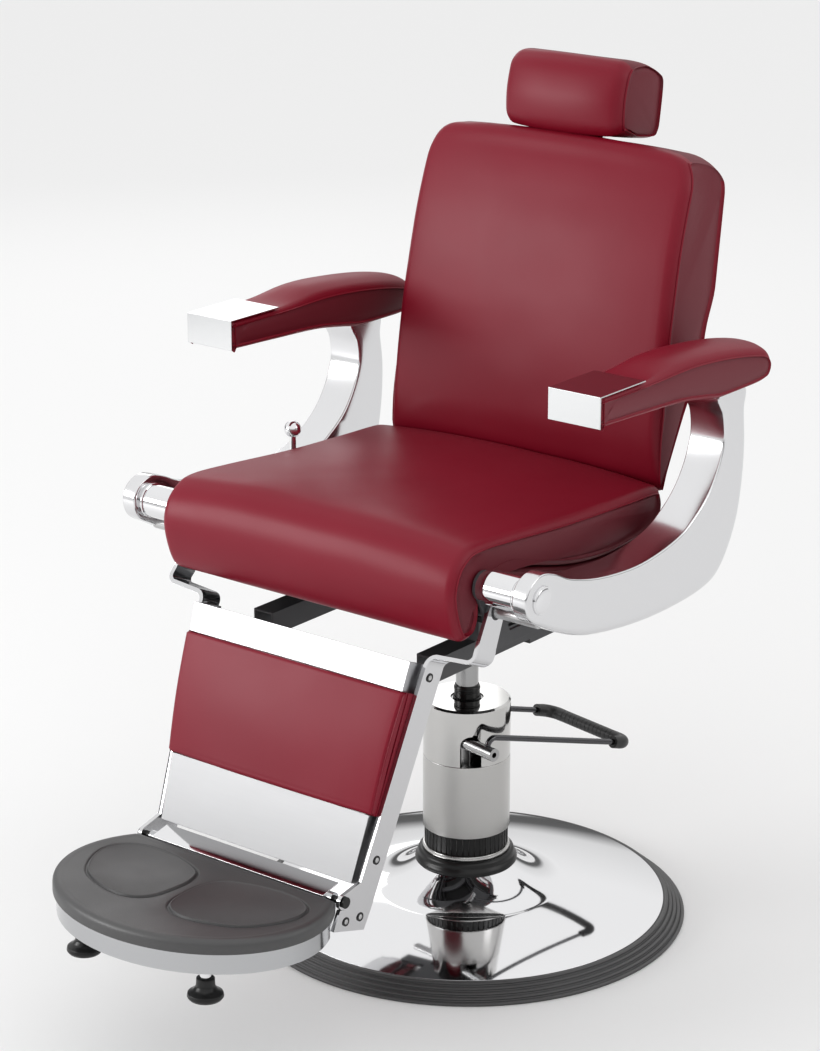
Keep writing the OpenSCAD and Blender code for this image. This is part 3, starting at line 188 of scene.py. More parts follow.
def makeWearGroup():
    # faint smears that change the roughness a little over the surface
    tree, start, end = newGroup(
        "wear",
        [("Scale", "NodeSocketFloat", 9.0), ("Base", "NodeSocketFloat", 0.08),
         ("Range", "NodeSocketFloat", 0.08)],
        [("Roughness", "NodeSocketFloat")])
    coord = tree.nodes.new("ShaderNodeTexCoord")
    smear = tree.nodes.new("ShaderNodeTexNoise")
    smear.inputs["Detail"].default_value = 5
    smear.inputs["Distortion"].default_value = 0.6
    tree.links.new(coord.outputs["Object"], smear.inputs["Vector"])
    tree.links.new(start.outputs["Scale"], smear.inputs["Scale"])
    part = mathNode(tree, "MULTIPLY", smear.outputs["Fac"], start.outputs["Range"])
    rough = mathNode(tree, "ADD", part, start.outputs["Base"])
    tree.links.new(rough, end.inputs["Roughness"])
    return tree


def makeBrushGroup():
    # fine lines drawn out along one axis
    tree, start, end = newGroup(
        "brushed",
        [("Stretch", "NodeSocketVector", (1500.0, 12.0, 1500.0)), ("Base", "NodeSocketFloat", 0.22),
         ("Range", "NodeSocketFloat", 0.16)],
        [("Roughness", "NodeSocketFloat"), ("Height", "NodeSocketFloat")])
    coord = tree.nodes.new("ShaderNodeTexCoord")
    scaled = tree.nodes.new("ShaderNodeVectorMath")
    scaled.operation = "MULTIPLY"
    tree.links.new(coord.outputs["Object"], scaled.inputs[0])
    tree.links.new(start.outputs["Stretch"], scaled.inputs[1])
    lines = tree.nodes.new("ShaderNodeTexNoise")
    lines.inputs["Scale"].default_value = 1
    lines.inputs["Detail"].default_value = 3
    tree.links.new(scaled.outputs[0], lines.inputs["Vector"])
    part = mathNode(tree, "MULTIPLY", lines.outputs["Fac"], start.outputs["Range"])
    rough = mathNode(tree, "ADD", part, start.outputs["Base"])
    tree.links.new(rough, end.inputs["Roughness"])
    tree.links.new(lines.outputs["Fac"], end.inputs["Height"])
    return tree


grainGroup = makeGrainGroup()
wearGroup = makeWearGroup()
brushGroup = makeBrushGroup()


def useGroup(mat, group, values):
    node = mat.node_tree.nodes.new("ShaderNodeGroup")
    node.node_tree = group
    for key, value in values.items():
        node.inputs[key].default_value = value
    return node


def newMaterial(name, color, metallic=0.0):
    mat = bpy.data.materials.new(name)
    mat.use_nodes = True
    shader = mat.node_tree.nodes["Principled BSDF"]
    shader.inputs["Base Color"].default_value = (*color, 1)
    shader.inputs["Metallic"].default_value = metallic
    return mat, shader, mat.node_tree


def addBump(tree, shader, height, strength, distance):
    bump = tree.nodes.new("ShaderNodeBump")
    bump.inputs["Strength"].default_value = strength
    bump.inputs["Distance"].default_value = distance
    tree.links.new(height, bump.inputs["Height"])
    tree.links.new(bump.outputs["Normal"], shader.inputs["Normal"])


def mixColor(tree, fac, a, b):
    mix = tree.nodes.new("ShaderNodeMix")
    mix.data_type = "RGBA"
    mix.inputs["A"].default_value = (*a, 1)
    mix.inputs["B"].default_value = (*b, 1)
    tree.links.new(fac, mix.inputs["Factor"])
    return mix.outputs["Result"]


vinylSkin = {"grain": 950, "drift": 5, "smears": 7, "spread": 0.1, "bump": 0.16, "depth": 0.0004}
mouldedSkin = {"grain": 700, "drift": 12, "smears": 14, "spread": 0.14, "bump": 0.3,
               "depth": 0.0005, "gloss": 0.5}


def makeSkin(name, dark, light, rough, skin, **changes):
    # vinyl, rubber, enamel or plastic: a fine grain and two tones that drift into each other
    s = dict(skin, **changes)
    mat, shader, tree = newMaterial(name, dark)
    grain = useGroup(mat, grainGroup, {"Scale": s["grain"], "Unevenness": s["drift"]})
    wear = useGroup(mat, wearGroup, {"Scale": s["smears"], "Base": rough, "Range": s["spread"]})
    tone = mixColor(tree, grain.outputs["Tone"], dark, light)
    tree.links.new(tone, shader.inputs["Base Color"])
    tree.links.new(wear.outputs["Roughness"], shader.inputs["Roughness"])
    addBump(tree, shader, grain.outputs["Height"], s["bump"], s["depth"])
    shader.inputs["Specular IOR Level"].default_value = s["gloss"]
    return mat


def makePlated(name, color, base, spread, scale=9):
    mat, shader, tree = newMaterial(name, color, 1.0)
    wear = useGroup(mat, wearGroup, {"Scale": scale, "Base": base, "Range": spread})
    tree.links.new(wear.outputs["Roughness"], shader.inputs["Roughness"])
    return mat


brushMarks = {"bump": 0.05, "depth": 0.0002}


def makeBrushed(name, color, stretch, base, spread):
    mat, shader, tree = newMaterial(name, color, 1.0)
    brush = useGroup(mat, brushGroup, {"Stretch": stretch, "Base": base, "Range": spread})
    tree.links.new(brush.outputs["Roughness"], shader.inputs["Roughness"])
    addBump(tree, shader, brush.outputs["Height"], brushMarks["bump"], brushMarks["depth"])
    return mat


ply = {"color": (0.4, 0.26, 0.13), "dark": (0.33, 0.2, 0.1), "light": (0.55, 0.38, 0.21),
       "stretch": (6.0, 160.0, 400.0), "rough": 0.5, "spread": 0.2}


def makeWood(name):
    mat, shader, tree = newMaterial(name, ply["color"])
    brush = useGroup(mat, brushGroup, {"Stretch": ply["stretch"], "Base": ply["rough"],
                                       "Range": ply["spread"]})
    tone = mixColor(tree, brush.outputs["Height"], ply["dark"], ply["light"])
    tree.links.new(tone, shader.inputs["Base Color"])
    tree.links.new(brush.outputs["Roughness"], shader.inputs["Roughness"])
    return mat


vinylRed = makeSkin("redVinyl", (0.2, 0.0032, 0.018), (0.235, 0.005, 0.023), 0.36, vinylSkin,
                    gloss=0.42)
vinylDeep = makeSkin("redVinylSide", (0.142, 0.013, 0.023), (0.172, 0.02, 0.033), 0.46, vinylSkin,
                     gloss=0.55)
finishes = {
    "leather": vinylRed,
    "leather_dark": vinylDeep,
    "chrome": makePlated("chromePlate", (0.78, 0.78, 0.79), 0.03, 0.05),
    "satin": makeBrushed("satinPlate", (0.54, 0.535, 0.525), (14.0, 14.0, 1500.0), 0.16, 0.12),
    "cast_arm": makePlated("polishedCasting", (0.74, 0.74, 0.75), 0.12, 0.1, 6),
    "steel": makeBrushed("turnedSteel", (0.55, 0.55, 0.55), (900.0, 30.0, 900.0), 0.24, 0.14),
    "iron": makeSkin("castIron", (0.02, 0.02, 0.02), (0.035, 0.035, 0.035), 0.6, mouldedSkin,
                     grain=500),
    "rubber": makeSkin("mouldedRubber", (0.048, 0.048, 0.05), (0.066, 0.065, 0.065), 0.38,
                       mouldedSkin, bump=0.25, gloss=0.95),
    "dark": makeSkin("blackEnamel", (0.008, 0.008, 0.008), (0.012, 0.012, 0.012), 0.22,
                     mouldedSkin, grain=200, bump=0.05),
    "grey_paint": makeSkin("greyPowderCoat", (0.075, 0.076, 0.08), (0.09, 0.09, 0.095), 0.38,
                           mouldedSkin, grain=1200, bump=0.2),
    "plywood": makeWood("plywood"),
    "shell": makeSkin("blackShell", (0.012, 0.012, 0.012), (0.02, 0.02, 0.02), 0.45, mouldedSkin,
                      grain=900, bump=0.4),
}
# single nodes that depart from their slot: duller or darker plate, blacker rubber, painted wood
variants = {
    "cover_upper": makePlated("nickelPlate", (0.58, 0.575, 0.565), 0.05, 0.06),
    "lever_loop": makePlated("darkChrome", (0.12, 0.12, 0.125), 0.14, 0.1),
    "lever_shaft": makePlated("shaftPlate", (0.42, 0.42, 0.42), 0.16, 0.1),
    "lever_grip": makeSkin("gripRubber", (0.028, 0.028, 0.029), (0.042, 0.042, 0.042), 0.32,
                           mouldedSkin, bump=0.15),
    "seat_pan": makeSkin("paintedPly", (0.02, 0.02, 0.02), (0.03, 0.03, 0.03), 0.5, mouldedSkin,
                         grain=300, bump=0.1),
    "lifting_ram": makePlated("ramPlate", (0.4, 0.4, 0.4), 0.16, 0.1),
    "leg_top_panel": makeBrushed("panelPlate", (0.5, 0.5, 0.51), (900.0, 14.0, 14.0), 0.22, 0.16),
    "leg_bar_left": makePlated("barPlate", (0.66, 0.66, 0.67), 0.07, 0.08),
    "foot_pan": makePlated("panPlate", (0.5, 0.505, 0.515), 0.08, 0.08),
    "foot_tips": makeSkin("blackRubber", (0.011, 0.011, 0.011), (0.016, 0.016, 0.016), 0.24,
                          mouldedSkin, grain=500, bump=0.08),
    "leg_kick_plate": makeBrushed("brushedPanel", (0.34, 0.34, 0.345), (14.0, 900.0, 900.0),
                                  0.3, 0.16),
    "calf_board": vinylRed,
    "arm_cap_left": makePlated("capPlate", (0.6, 0.605, 0.61), 0.05, 0.05),
}
for node, twin in (("leg_bar_right", "leg_bar_left"), ("base_collar", "foot_tips"),
                   ("arm_cap_right", "arm_cap_left")):
    variants[node] = variants[twin]
slotOf = {part["node"]: part["material_slot"] for part in frame["record"]["subparts"]}


def finishOf(node):
    return variants.get(node, finishes[slotOf[node]])


def dressFrame():
    for node, obj in frame["nodes"].items():
        obj.data.materials.clear()
        obj.data.materials.append(finishOf(node))


dressFrame()
print("finishes on the frame's nodes")


def closedCurve(points, steps):
    # smooth closed curve through the points, the same way as the frame's outlines
    p = np.array(points, float)
    n = len(p)
    out = []
    for i in range(n):
        a, b, c, d = p[i - 1], p[i], p[(i + 1) % n], p[(i + 2) % n]
        for k in range(steps):
            t = k / steps
            out.append(0.5 * (2 * b + (c - a) * t + (2 * a - 5 * b + 4 * c - d) * t * t
                              + (3 * b - a - 3 * c + d) * t ** 3))
    return np.array(out)


def outwardOf(outline):
    # outward normals of an outline that runs against the clock
    way = np.roll(outline, -1, 0) - np.roll(outline, 1, 0)
    way /= np.linalg.norm(way, axis=1)[:, None]
    return np.stack([way[:, 1], -way[:, 0]], 1)


def clamp(t):
    return min(1.0, max(0.0, t))


def soft(t):
    # eases in and out between 0 and 1
    t = clamp(t)
    return t * t * (3 - 2 * t)


def quarter(count):
    # sine and cosine shortfalls of a quarter turn, for rounding an edge
    turns = [math.radians(90 * k / (count - 1)) for k in range(count)]
    return [(1 - math.sin(a), 1 - math.cos(a)) for a in turns]


def freshObject(name, mesh):
    obj = bpy.data.objects.new(name, mesh)
    bpy.context.scene.collection.objects.link(obj)
    return obj


def flatten(obj):
    # leaves a piece as a plain mesh with nothing still to be evaluated
    graph = bpy.context.evaluated_depsgraph_get()
    mesh = bpy.data.meshes.new_from_object(obj.evaluated_get(graph))
    obj.modifiers.clear()
    old = obj.data
    obj.data = mesh
    bpy.data.meshes.remove(old)


def shadeByAngle(mesh, angle):
    mesh.polygons.foreach_set("use_smooth", [True] * len(mesh.polygons))
    mesh.set_sharp_from_angle(angle=math.radians(angle))


def toObject(name, verts, faces, slots, body, node=None, smooth=40, kinds=None):
    # verts in millimetres; slots are material slots, kinds says which of them a face takes,
    # and smooth is the angle in degrees up to which the shading runs over an edge
    points = [tuple(v) for v in np.asarray(verts) * mm]
    mesh = bpy.data.meshes.new(name)
    mesh.from_pydata(points, [], [tuple(int(i) for i in face) for face in faces])
    if kinds is not None:
        mesh.polygons.foreach_set("material_index", [int(k) for k in kinds])
    build = bmesh.new()
    build.from_mesh(mesh)
    bmesh.ops.recalc_face_normals(build, faces=build.faces)
    build.to_mesh(mesh)
    build.free()
    for slot in slots:
        mesh.materials.append(finishes[slot])
    if node in variants:
        mesh.materials[0] = variants[node]
    shadeByAngle(mesh, smooth)
    obj = freshObject(name, mesh)
    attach(obj, body)
    if node:
        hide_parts(node)
    return obj


def ringFaces(rows, cols):
    # quads between rings of cols points that follow each other in the list
    return [(r * cols + c, r * cols + (c + 1) % cols,
             (r + 1) * cols + (c + 1) % cols, (r + 1) * cols + c)
            for r in range(rows - 1) for c in range(cols)]


def leaned(verts, place):
    # from a sub-frame that leans back about X into the chair's frame, in millimetres
    y0, z0, lean = place
    a = math.radians(lean)
    v = np.array(verts, float)
    y, z = v[:, 1].copy(), v[:, 2].copy()
    v[:, 1] = y * math.cos(a) + z * math.sin(a) + y0
    v[:, 2] = -y * math.sin(a) + z * math.cos(a) + z0
    return v


endPanel = {"fade": 1.9, "flatness": 2.4}


def cap(ring, verts, count, bulge, side):
    # fills a ring of vertex numbers with a panel whose middle stands out along X
    n = len(ring)
    half = n // 2
    new, faces = [], []
    index = {}
    base = len(verts)
    for i in range(half):
        a, b = verts[ring[i]], verts[ring[n - 1 - i]]
        index[i, 0], index[i, count] = ring[i], ring[n - 1 - i]
        fade = min(1.0, math.sin(math.pi * (i + 0.5) / half) * endPanel["fade"])
        for k in range(1, count):
            t = k / count
            p = a + (b - a) * t
            p[0] += side * bulge * fade * (1 - abs(2 * t - 1) ** endPanel["flatness"])
            index[i, k] = base + len(new)
            new.append(p)
    for i in range(half - 1):
        for k in range(count):
            faces.append((index[i, k], index[i + 1, k], index[i + 1, k + 1], index[i, k + 1]))
    return new, faces


def closeEnds(verts, faces, rows, n, count, bulge):
    # fills the first and the last ring of a row of rings, and says how many faces that took
    before = len(faces)
    for side, start in ((-1, 0), (1, (rows - 1) * n)):
        new, more = cap(list(range(start, start + n)), verts, count, bulge, side)
        verts += new
        faces += more
    return len(faces) - before


# what a cushion does where its own settings say nothing else; lengths in millimetres
plainPillow = {
    "steps": 8, "margin": 1.5, "roundTo": 74, "roundCount": 8, "crownPower": 2.6, "capCount": 12,
    "wrinkle": 0, "wrinkleScale": 0.012, "calmEdge": 6, "calmLeast": 0.2, "wrap": None,
    "place": (0, 0, 0), "shift": 0, "share": lambda p: 1.0, "taper": lambda p: 1.0,
    "swell": lambda p: 1.0, "fit": lambda p: p, "darkVinylFaces": lambda p: False,
}


def pillowStations(s):
    # rings from one side to the other: how far out each is and how far it is drawn in
    half, edge, margin = s["half"], s["edge"], s["margin"]
    turns = [math.radians(a) for a in np.linspace(0, s["roundTo"], s["roundCount"])]
    rounded = [(half - margin - edge * (1 - math.sin(a)), edge * (1 - math.cos(a))) for a in turns]
    # the welt: how far in from the side, and at which share of the edge's depth
    welt = [(s["welt"] * 0.55, 0.66), (0.15, 0.70), (0.1, 0.76), (s["welt"] * 0.75, 0.84),
            (s["inset"], 1)]
    right = rounded + [(half - out, edge * share) for out, share in welt]
    flat = np.linspace(edge + margin - half, half - edge - margin, s["columns"])[1:-1]
    return [(-x, inset) for x, inset in reversed(right)] + [(x, 0.0) for x in flat] + right


def wrapShift(wrap, z):
    # how far the front is let out beside its seams, fading towards both ends
    up, down = (z - wrap["low"]) / wrap["lowRun"], (wrap["high"] - z) / wrap["highRun"]
    return wrap["depth"] * soft(up) * soft(down)


def makePillow(name, node, settings, slots, body):
    s = {**plainPillow, **settings}
    outline = s["outline"] if "outline" in s else closedCurve(s["points"], s["steps"])
    if "depth" in s:
        outline[:, 0] = np.minimum(outline[:, 0], s["depth"])
    n = len(outline)
    normals = outwardOf(outline)
    half, wrap = s["half"], s["wrap"]
    swells = np.array([s["swell"](p) for p in outline])
    gains = s["crown"] * np.maximum(0, normals @ np.array(s["up"])) ** 2 * swells
    stations = pillowStations(s)
    verts = []
    for x, inset in stations:
        u = abs(x) / half
        calm = min(1, s["calmEdge"] * (1 - u) + s["calmLeast"])
        for i in range(n):
            lift = gains[i] * (1 - u ** s["crownPower"])
            q = outline[i] + normals[i] * (lift - inset * s["share"](outline[i]))
            if wrap and abs(x) > wrap["start"] and outline[i][0] > s["depth"] - wrap["band"]:
                q[0] += wrapShift(wrap, q[1])
            if s["wrinkle"]:
                spot = Vector((x, q[0], q[1])) * s["wrinkleScale"]
                q = q + normals[i] * (s["wrinkle"] * calm * mathNoise.noise(spot))
            q = np.array(s["fit"](q))
            verts.append(np.array([x * s["taper"](q), q[0], q[1]]))
    rows = len(stations)
    faces = ringFaces(rows, n)
    middles = (outline + np.roll(outline, -1, 0)) / 2
    # the faces that the settings pick take the second, darker vinyl
    onDarkVinyl = [1 if s["darkVinylFaces"](middle) else 0 for middle in middles]
    kinds = [onDarkVinyl[k % n] for k in range(len(faces))]
    kinds += [len(slots) - 1] * closeEnds(verts, faces, rows, n, s["capCount"], s["bulge"])
    placed = leaned(verts, s["place"])
    placed[:, 0] += s["shift"]
    obj = toObject(name, placed, faces, slots, body, node, smooth=50, kinds=kinds)


def band(top, bottom, count):
    # an outline of two long sides, each with count points spread evenly along it
    def spread(points):
        p = np.array(points, float)
        step = np.r_[0, np.cumsum(np.linalg.norm(np.diff(p, axis=0), axis=1))]
        at = np.linspace(0, step[-1], count)
        return np.stack([np.interp(at, step, p[:, 0]), np.interp(at, step, p[:, 1])], 1)
    return np.concatenate([spread(top), spread(bottom)])


twoVinyls = ("leather", "leather_dark")
seat = {
    "points": [(104, 704), (20, 708), (-120, 715), (-250, 726), (-322, 730), (-352, 723),
               (-374, 703), (-384, 670), (-376, 630), (-362, 603), (-344, 598), (-327, 606),
               (-318, 628), (-316, 652), (-296, 674), (-254, 680), (-184, 661), (-100, 640),
               (-20, 631), (60, 635), (104, 648), (122, 664), (121, 690)],
    "half": 264, "edge": 13, "crown": 13, "up": (-0.05, 1), "welt": 3.2, "inset": 4.0,
    "bulge": 3.6, "columns": 40, "capCount": 14, "wrinkle": 0.9, "fill": 0.9,
    # the cushion's underside faces take the darker side vinyl as painted shade, for the dark line
    # where the cushion meets the box
    "darkVinylFaces": lambda p: p[0] > -310 and p[1] < 690,
}
makePillow("seatCushion", "seat_cushion", seat, twoVinyls, "seat")

seatBox = {
    "outline": band(
        [(100, 644.4), (60, 632.4), (-20, 628.4), (-100, 637.4), (-184, 658.4), (-254, 677.2),
         (-261, 677)],
        [(-262, 668), (-262, 606), (-258, 600.5), (80, 600.5), (86, 602), (100, 630)], 44),
    "half": 255, "edge": 7, "crown": 0, "up": (0, 1), "welt": 1.5, "inset": 2.0, "bulge": 1.8,
    "columns": 14, "capCount": 8, "fill": 1.0,
}
makePillow("seatBox", "seat_box", seatBox, ("leather_dark",), "seat")
print("seat")

backSet = {"length": 541, "low": 250, "high": 239, "narrowFrom": 60, "corner": 58,
           "cornerShare": 0.17, "place": (125, 636, 9.5)}


def cornerCut(t, share):
    # one along a side, and less by up to share where t goes to one round a corner
    t = clamp(t)
    return 1 - share * (1 - math.sqrt(1 - t * t))


def backNarrow(p):
    s = backSet
    t = (p[1] - s["narrowFrom"]) / (s["length"] - s["narrowFrom"])
    corner = (p[1] - (s["length"] - s["corner"])) / s["corner"]
    return (1 - (1 - s["high"] / s["low"]) * t) * cornerCut(corner, s["cornerShare"])


back = {
    "points": [(16, 78), (36, 122), (62, 178), (83, 232), (92, 290), (92, 370), (92, 460),
               (91, 511), (78, 534), (50, 541), (18, 541), (4, 533), (-3, 505), (-12, 460),
               (-20, 400), (-24, 330), (-26, 270), (-24, 190), (-19, 130), (-12, 92), (-3, 62),
               (8, 52)],
    "half": backSet["low"], "edge": 17, "crown": 13, "up": (-1, 0.55), "welt": 3.2, "inset": 4.0,
    "bulge": 3.4, "columns": 40, "capCount": 14, "wrinkle": 0.9, "fill": 0.9, "depth": 92,
    "place": backSet["place"], "taper": backNarrow,
    "wrap": {"start": 235, "depth": 14, "band": 12, "low": 282, "lowRun": 70, "high": 536,
             "highRun": 36},
    "darkVinylFaces": lambda p: p[0] > 20 and p[1] > 505,
    "share": lambda p: min(1.0, max(0.25, (p[1] - 40) / 120)),
}
makePillow("backCushion", "back_cushion", back, twoVinyls, "back")

headLow, headHigh = 549.5, 663
headRound = {"high": 28, "low": 24, "share": 0.08}


def headCorner(p):
    fromTop = (p[1] - headHigh + headRound["high"]) / headRound["high"]
    fromFoot = (headLow + headRound["low"] - p[1]) / headRound["low"]
    return cornerCut(max(fromTop, fromFoot), headRound["share"])


head = {
    "points": [(13, headLow + 1), (35, headLow), (70, headLow), (100, headLow + 2),
               (107, headLow + 14), (108, headLow + 40), (107, headHigh - 36),
               (103, headHigh - 20), (92, headHigh - 12), (70, headHigh - 4), (40, headHigh),
               (18, headHigh - 1), (5, headHigh - 11), (-2, headLow + 86), (-5, headLow + 52),
               (-1, headLow + 20), (6, headLow + 5)],
    "half": 107, "edge": 17, "crown": 15, "up": (-1, 0), "welt": 3.0, "inset": 4.0, "bulge": 3.4,
    "columns": 24, "capCount": 14, "wrinkle": 0.7, "fill": 0.95, "place": backSet["place"],
    "taper": headCorner, "share": lambda p: min(1.0, max(0.35, 1.3 - p[0] / 60)),
    "darkVinylFaces": lambda p: p[0] > 16 and p[1] > headHigh - 40,
}
makePillow("headRest", "headrest_pad", head, twoVinyls, "head_rest")
print("back and head rest")

padTop, padUnder, padFront, armTop, capLength = 924, 881, -198, 858, 106
padGap, padRest = 0.3, 40  # clear of cap and arm, and where the pad starts to lie on the arm


def padSeat(p):
    y, z = max(p[0], padFront + padGap), p[1]
    if y > padRest:
        z = max(z, armTop + padGap)
    elif y < padFront + capLength + 2:
        z = min(z, padTop)
    return y, z


armPad = {
    "points": [(padFront + 3, padTop - 5), (padFront + 3, padUnder + 6), (padFront + 9, padUnder),
               (-100, padUnder - 4), (0, padUnder - 9), (60, armTop + 6), (105, armTop - 1),
               (170, armTop - 2), (218, armTop), (233, armTop + 8), (237, 882), (226, 896),
               (200, 904), (150, 913), (90, 920), (20, 924), (-60, padTop - 1.5),
               (-104, padTop - 1.5), (-148, padTop - 1.5), (padFront + 9, padTop - 1.5)],
    "half": 43, "edge": 8, "crown": 13, "up": (0, 1), "welt": 2.4, "inset": 2.6, "bulge": 2.3,
    "columns": 16, "wrinkle": 0.5, "fill": 0.95, "fit": padSeat, "apart": 327,
    "swell": lambda p: soft((p[0] - padFront - capLength) / 95) if p[0] < 100 else 1.0,
}
for side, word in sides:
    oneSide = dict(armPad, shift=side * armPad["apart"])
    makePillow("armPad" + word.title(), "arm_pad_" + word, oneSide, twoVinyls, "seat")
print("arm pads")

legPlace = (-300, 633, 22.4)
legBars = {"narrow": 183, "spread": 25, "foot": -476, "run": 380}
legPanel = {"face": -56, "top": -95, "slope": 0.054}


def barFace(z):
    # half the width between the bars, which spread a little upwards
    return legBars["narrow"] + legBars["spread"] * (z - legBars["foot"]) / legBars["run"]


def panelFace(z):
    return legPanel["face"] + (legPanel["top"] - z) * legPanel["slope"]


calfSet = {"high": -137.3, "low": -311.7, "rear": 7.7, "stand": 3.0, "bow": 2.6, "end": 16,
           "half": 199, "gap": 7}


def calfOutline():
    # depth and height round the pad, whose front bows out a little between rounded ends
    high, low, stand, end = (calfSet[key] for key in ("high", "low", "stand", "end"))
    corner = [(calfSet["rear"], 0), (3, 0), (0.5 - stand, 2), (-stand - 0.5, 8)]
    front = [(-stand - 1 - calfSet["bow"] * math.sin(math.radians(20 * k)),
              low + end + (high - low - 2 * end) * k / 9) for k in range(9, -1, -1)]
    outline = [(depth, high - z) for depth, z in corner] + front
    outline += [(depth, low + z) for depth, z in reversed(corner)]
    return [(panelFace(z) + depth, z) for depth, z in outline]


def calfFit(p):
    y = min(p[0], panelFace(p[1]) + calfSet["rear"])
    return y, min(max(p[1], calfSet["low"]), calfSet["high"])


calf = {
    "points": calfOutline(), "steps": 6, "half": calfSet["half"], "edge": 3.6, "crown": 8,
    "up": (-1, 0), "welt": 0.2, "inset": 0.4, "bulge": 0.5, "columns": 34, "capCount": 4,
    "wrinkle": 0.6, "fill": 0.9, "place": legPlace, "fit": calfFit,
    "taper": lambda p: (barFace(p[1]) - calfSet["gap"]) / calfSet["half"],
}
makePillow("calfPad", "calf_pad", calf, ("leather",), "leg_rest")
print("calf pad")

arm = {
    "points": [(105, 858), (118, 826), (122, 795), (115, 768), (100, 740), (80, 716), (52, 695),
               (15, 676), (-40, 664), (-105, 660), (-185, 668), (-250, 684), (-290, 702),
               (-320, 709), (-346, 698), (-355, 676), (-346, 652), (-318, 635), (-275, 613),
               (-215, 592), (-140, 579), (-60, 572), (20, 572), (80, 578), (118, 593),
               (148, 628), (168, 672), (178, 725), (180, 780), (174, 826), (171, 858)],
    "steps": 8, "outer": 365, "round": 3.0, "roundCount": 6, "top": 858,
    # the outer edge has a wider chamfer along the underside, as shares of the outline
    "chamfer": 12.0, "deep": 6.5, "chamferFrom": 0.53, "fadeIn": 0.06, "chamferTo": 0.97,
    "fadeOut": 0.05,
    # inner face along the arm: the boss is thin, the lower run and the upright are thick
    "inner": [(-262, 340), (-242, 332), (-202, 311), (-170, 305)],
}


def makeArm(name, node, side):
    s = arm
    outline = closedCurve(s["points"], s["steps"])[:-1]
    outline = outline[: len(outline) // 2 * 2]
    outline[:, 1] = np.minimum(outline[:, 1], s["top"])
    n = len(outline)
    normals = outwardOf(outline)
    innerAt, innerX = zip(*s["inner"])
    under = [clamp((k / n - s["chamferFrom"]) / s["fadeIn"])
             * clamp((s["chamferTo"] - k / n) / s["fadeOut"]) for k in range(n)]
    flat = outline[:, 1] > s["top"] - 0.2
    curve = quarter(s["roundCount"])
    stations = [("in", *p) for p in reversed(curve)] + [("mid", 0, 0)]
    stations += [("out", *p) for p in curve]
    verts = []
    for kind, dx, inset in stations:
        for i in range(n):
            y, z = outline[i]
            inner = float(np.interp(y, innerAt, innerX))
            if kind == "in":
                x, move = inner + s["round"] * dx, s["round"] * inset
            elif kind == "mid":
                x, move = (inner + s["outer"]) / 2, 0
            else:
                wide = s["round"] + (s["chamfer"] - s["round"]) * under[i]
                deep = s["round"] + (s["deep"] - s["round"]) * under[i]
                x, move = s["outer"] - deep * dx, wide * inset
            shift = (0.0, 0.0) if flat[i] else normals[i] * move
            verts.append(np.array([x, y - shift[0], z - shift[1]]))
    rows = len(stations)
    faces = ringFaces(rows, n)
    closeEnds(verts, faces, rows, n, count=6, bulge=0)
    verts = np.array(verts)
    verts[:, 0] *= side
    toObject(name, verts, faces, ("cast_arm",), "seat", node, smooth=38)


for side, word in sides:
    makeArm("arm" + word.title(), "arm_" + word, side)
print("arms")


def softenEdges(obj, width, segments=3):
    mod = obj.modifiers.new("edges", "BEVEL")
    mod.width = width * mm
    mod.segments = segments
    mod.limit_method = "ANGLE"
    mod.angle_limit = math.radians(crease)
    mod.harden_normals = True
    flatten(obj)


def makeLathe(name, s, slot, node=None):
    # turns a closed profile of radius and height about the base's upright axis
    profile, segments = s["profile"], s.get("segments", 160)
    n = len(profile)
    turns = [2 * math.pi * k / segments for k in range(segments)]
    verts = [(r * math.cos(a), r * math.sin(a), z) for a in turns for r, z in profile]
    faces = []
    for k in range(segments):
        here, there = k * n, (k + 1) % segments * n
        faces += [(here + i, there + i, there + (i + 1) % n, here + (i + 1) % n)
                  for i in range(n)]
    softenEdges(toObject(name, verts, faces, (slot,), "base", node, crease), s["edge"])


def bodyOf(node):
    return next(b for b, parts in frame["record"]["behaviour"]["bodies"].items() if node in parts)


def bevelledCopy(node, width, segments=2, grow=0.0):
    # a copy of a frame node with merged facets and small rounded edges takes its place;
    # grow makes it fuller, and both lengths are in millimetres
    mesh = frame["nodes"][node].data.copy()
    build = bmesh.new()
    build.from_mesh(mesh)
    bmesh.ops.remove_doubles(build, verts=build.verts, dist=2e-6)
    bmesh.ops.dissolve_limit(build, angle_limit=math.radians(0.4), verts=build.verts,
                             edges=build.edges)
    bmesh.ops.recalc_face_normals(build, faces=build.faces)
    build.normal_update()
    if grow:
        ways = [vert.normal * grow * mm for vert in build.verts]
        for vert, way in zip(build.verts, ways):
            vert.co += way
    build.to_mesh(mesh)
    build.free()
    mesh.materials.clear()
    mesh.materials.append(finishOf(node))
    shadeByAngle(mesh, crease)
    obj = freshObject(node + "_trim", mesh)
    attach(obj, bodyOf(node))
    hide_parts(node)
    if width:
        softenEdges(obj, width, segments)


dome = {
    "outer": 304, "neck": 76, "wall": 3, "count": 36, "segments": 224, "edge": 0.4,
    # the plate falls off slowly outside this radius and flares up into the neck inside it
    "flareAt": 150,
    "plate": {"low": 21, "rise": 29, "from": 120, "run": 206.5, "power": 1.7},
    "flare": {"low": 48.9, "rise": 35.1, "run": 74, "power": 1.9},
}


def domeZ(r):
    plate, flare = dome["plate"], dome["flare"]
    if r > dome["flareAt"]:
        out = (r - plate["from"]) / plate["run"]
        return plate["low"] + plate["rise"] * (1 - out ** plate["power"])
    return flare["low"] + flare["rise"] * ((dome["flareAt"] - r) / flare["run"]) ** flare["power"]


radii = [*np.linspace(dome["outer"], dome["flareAt"] + 1, dome["count"]),
         *np.linspace(dome["flareAt"], dome["neck"], dome["count"])]
domeTop = [(r, domeZ(r)) for r in radii]
dome["profile"] = domeTop + [(r, z - dome["wall"]) for r, z in reversed(domeTop)]
makeLathe("baseDome", dome, "chrome", "base_dome")

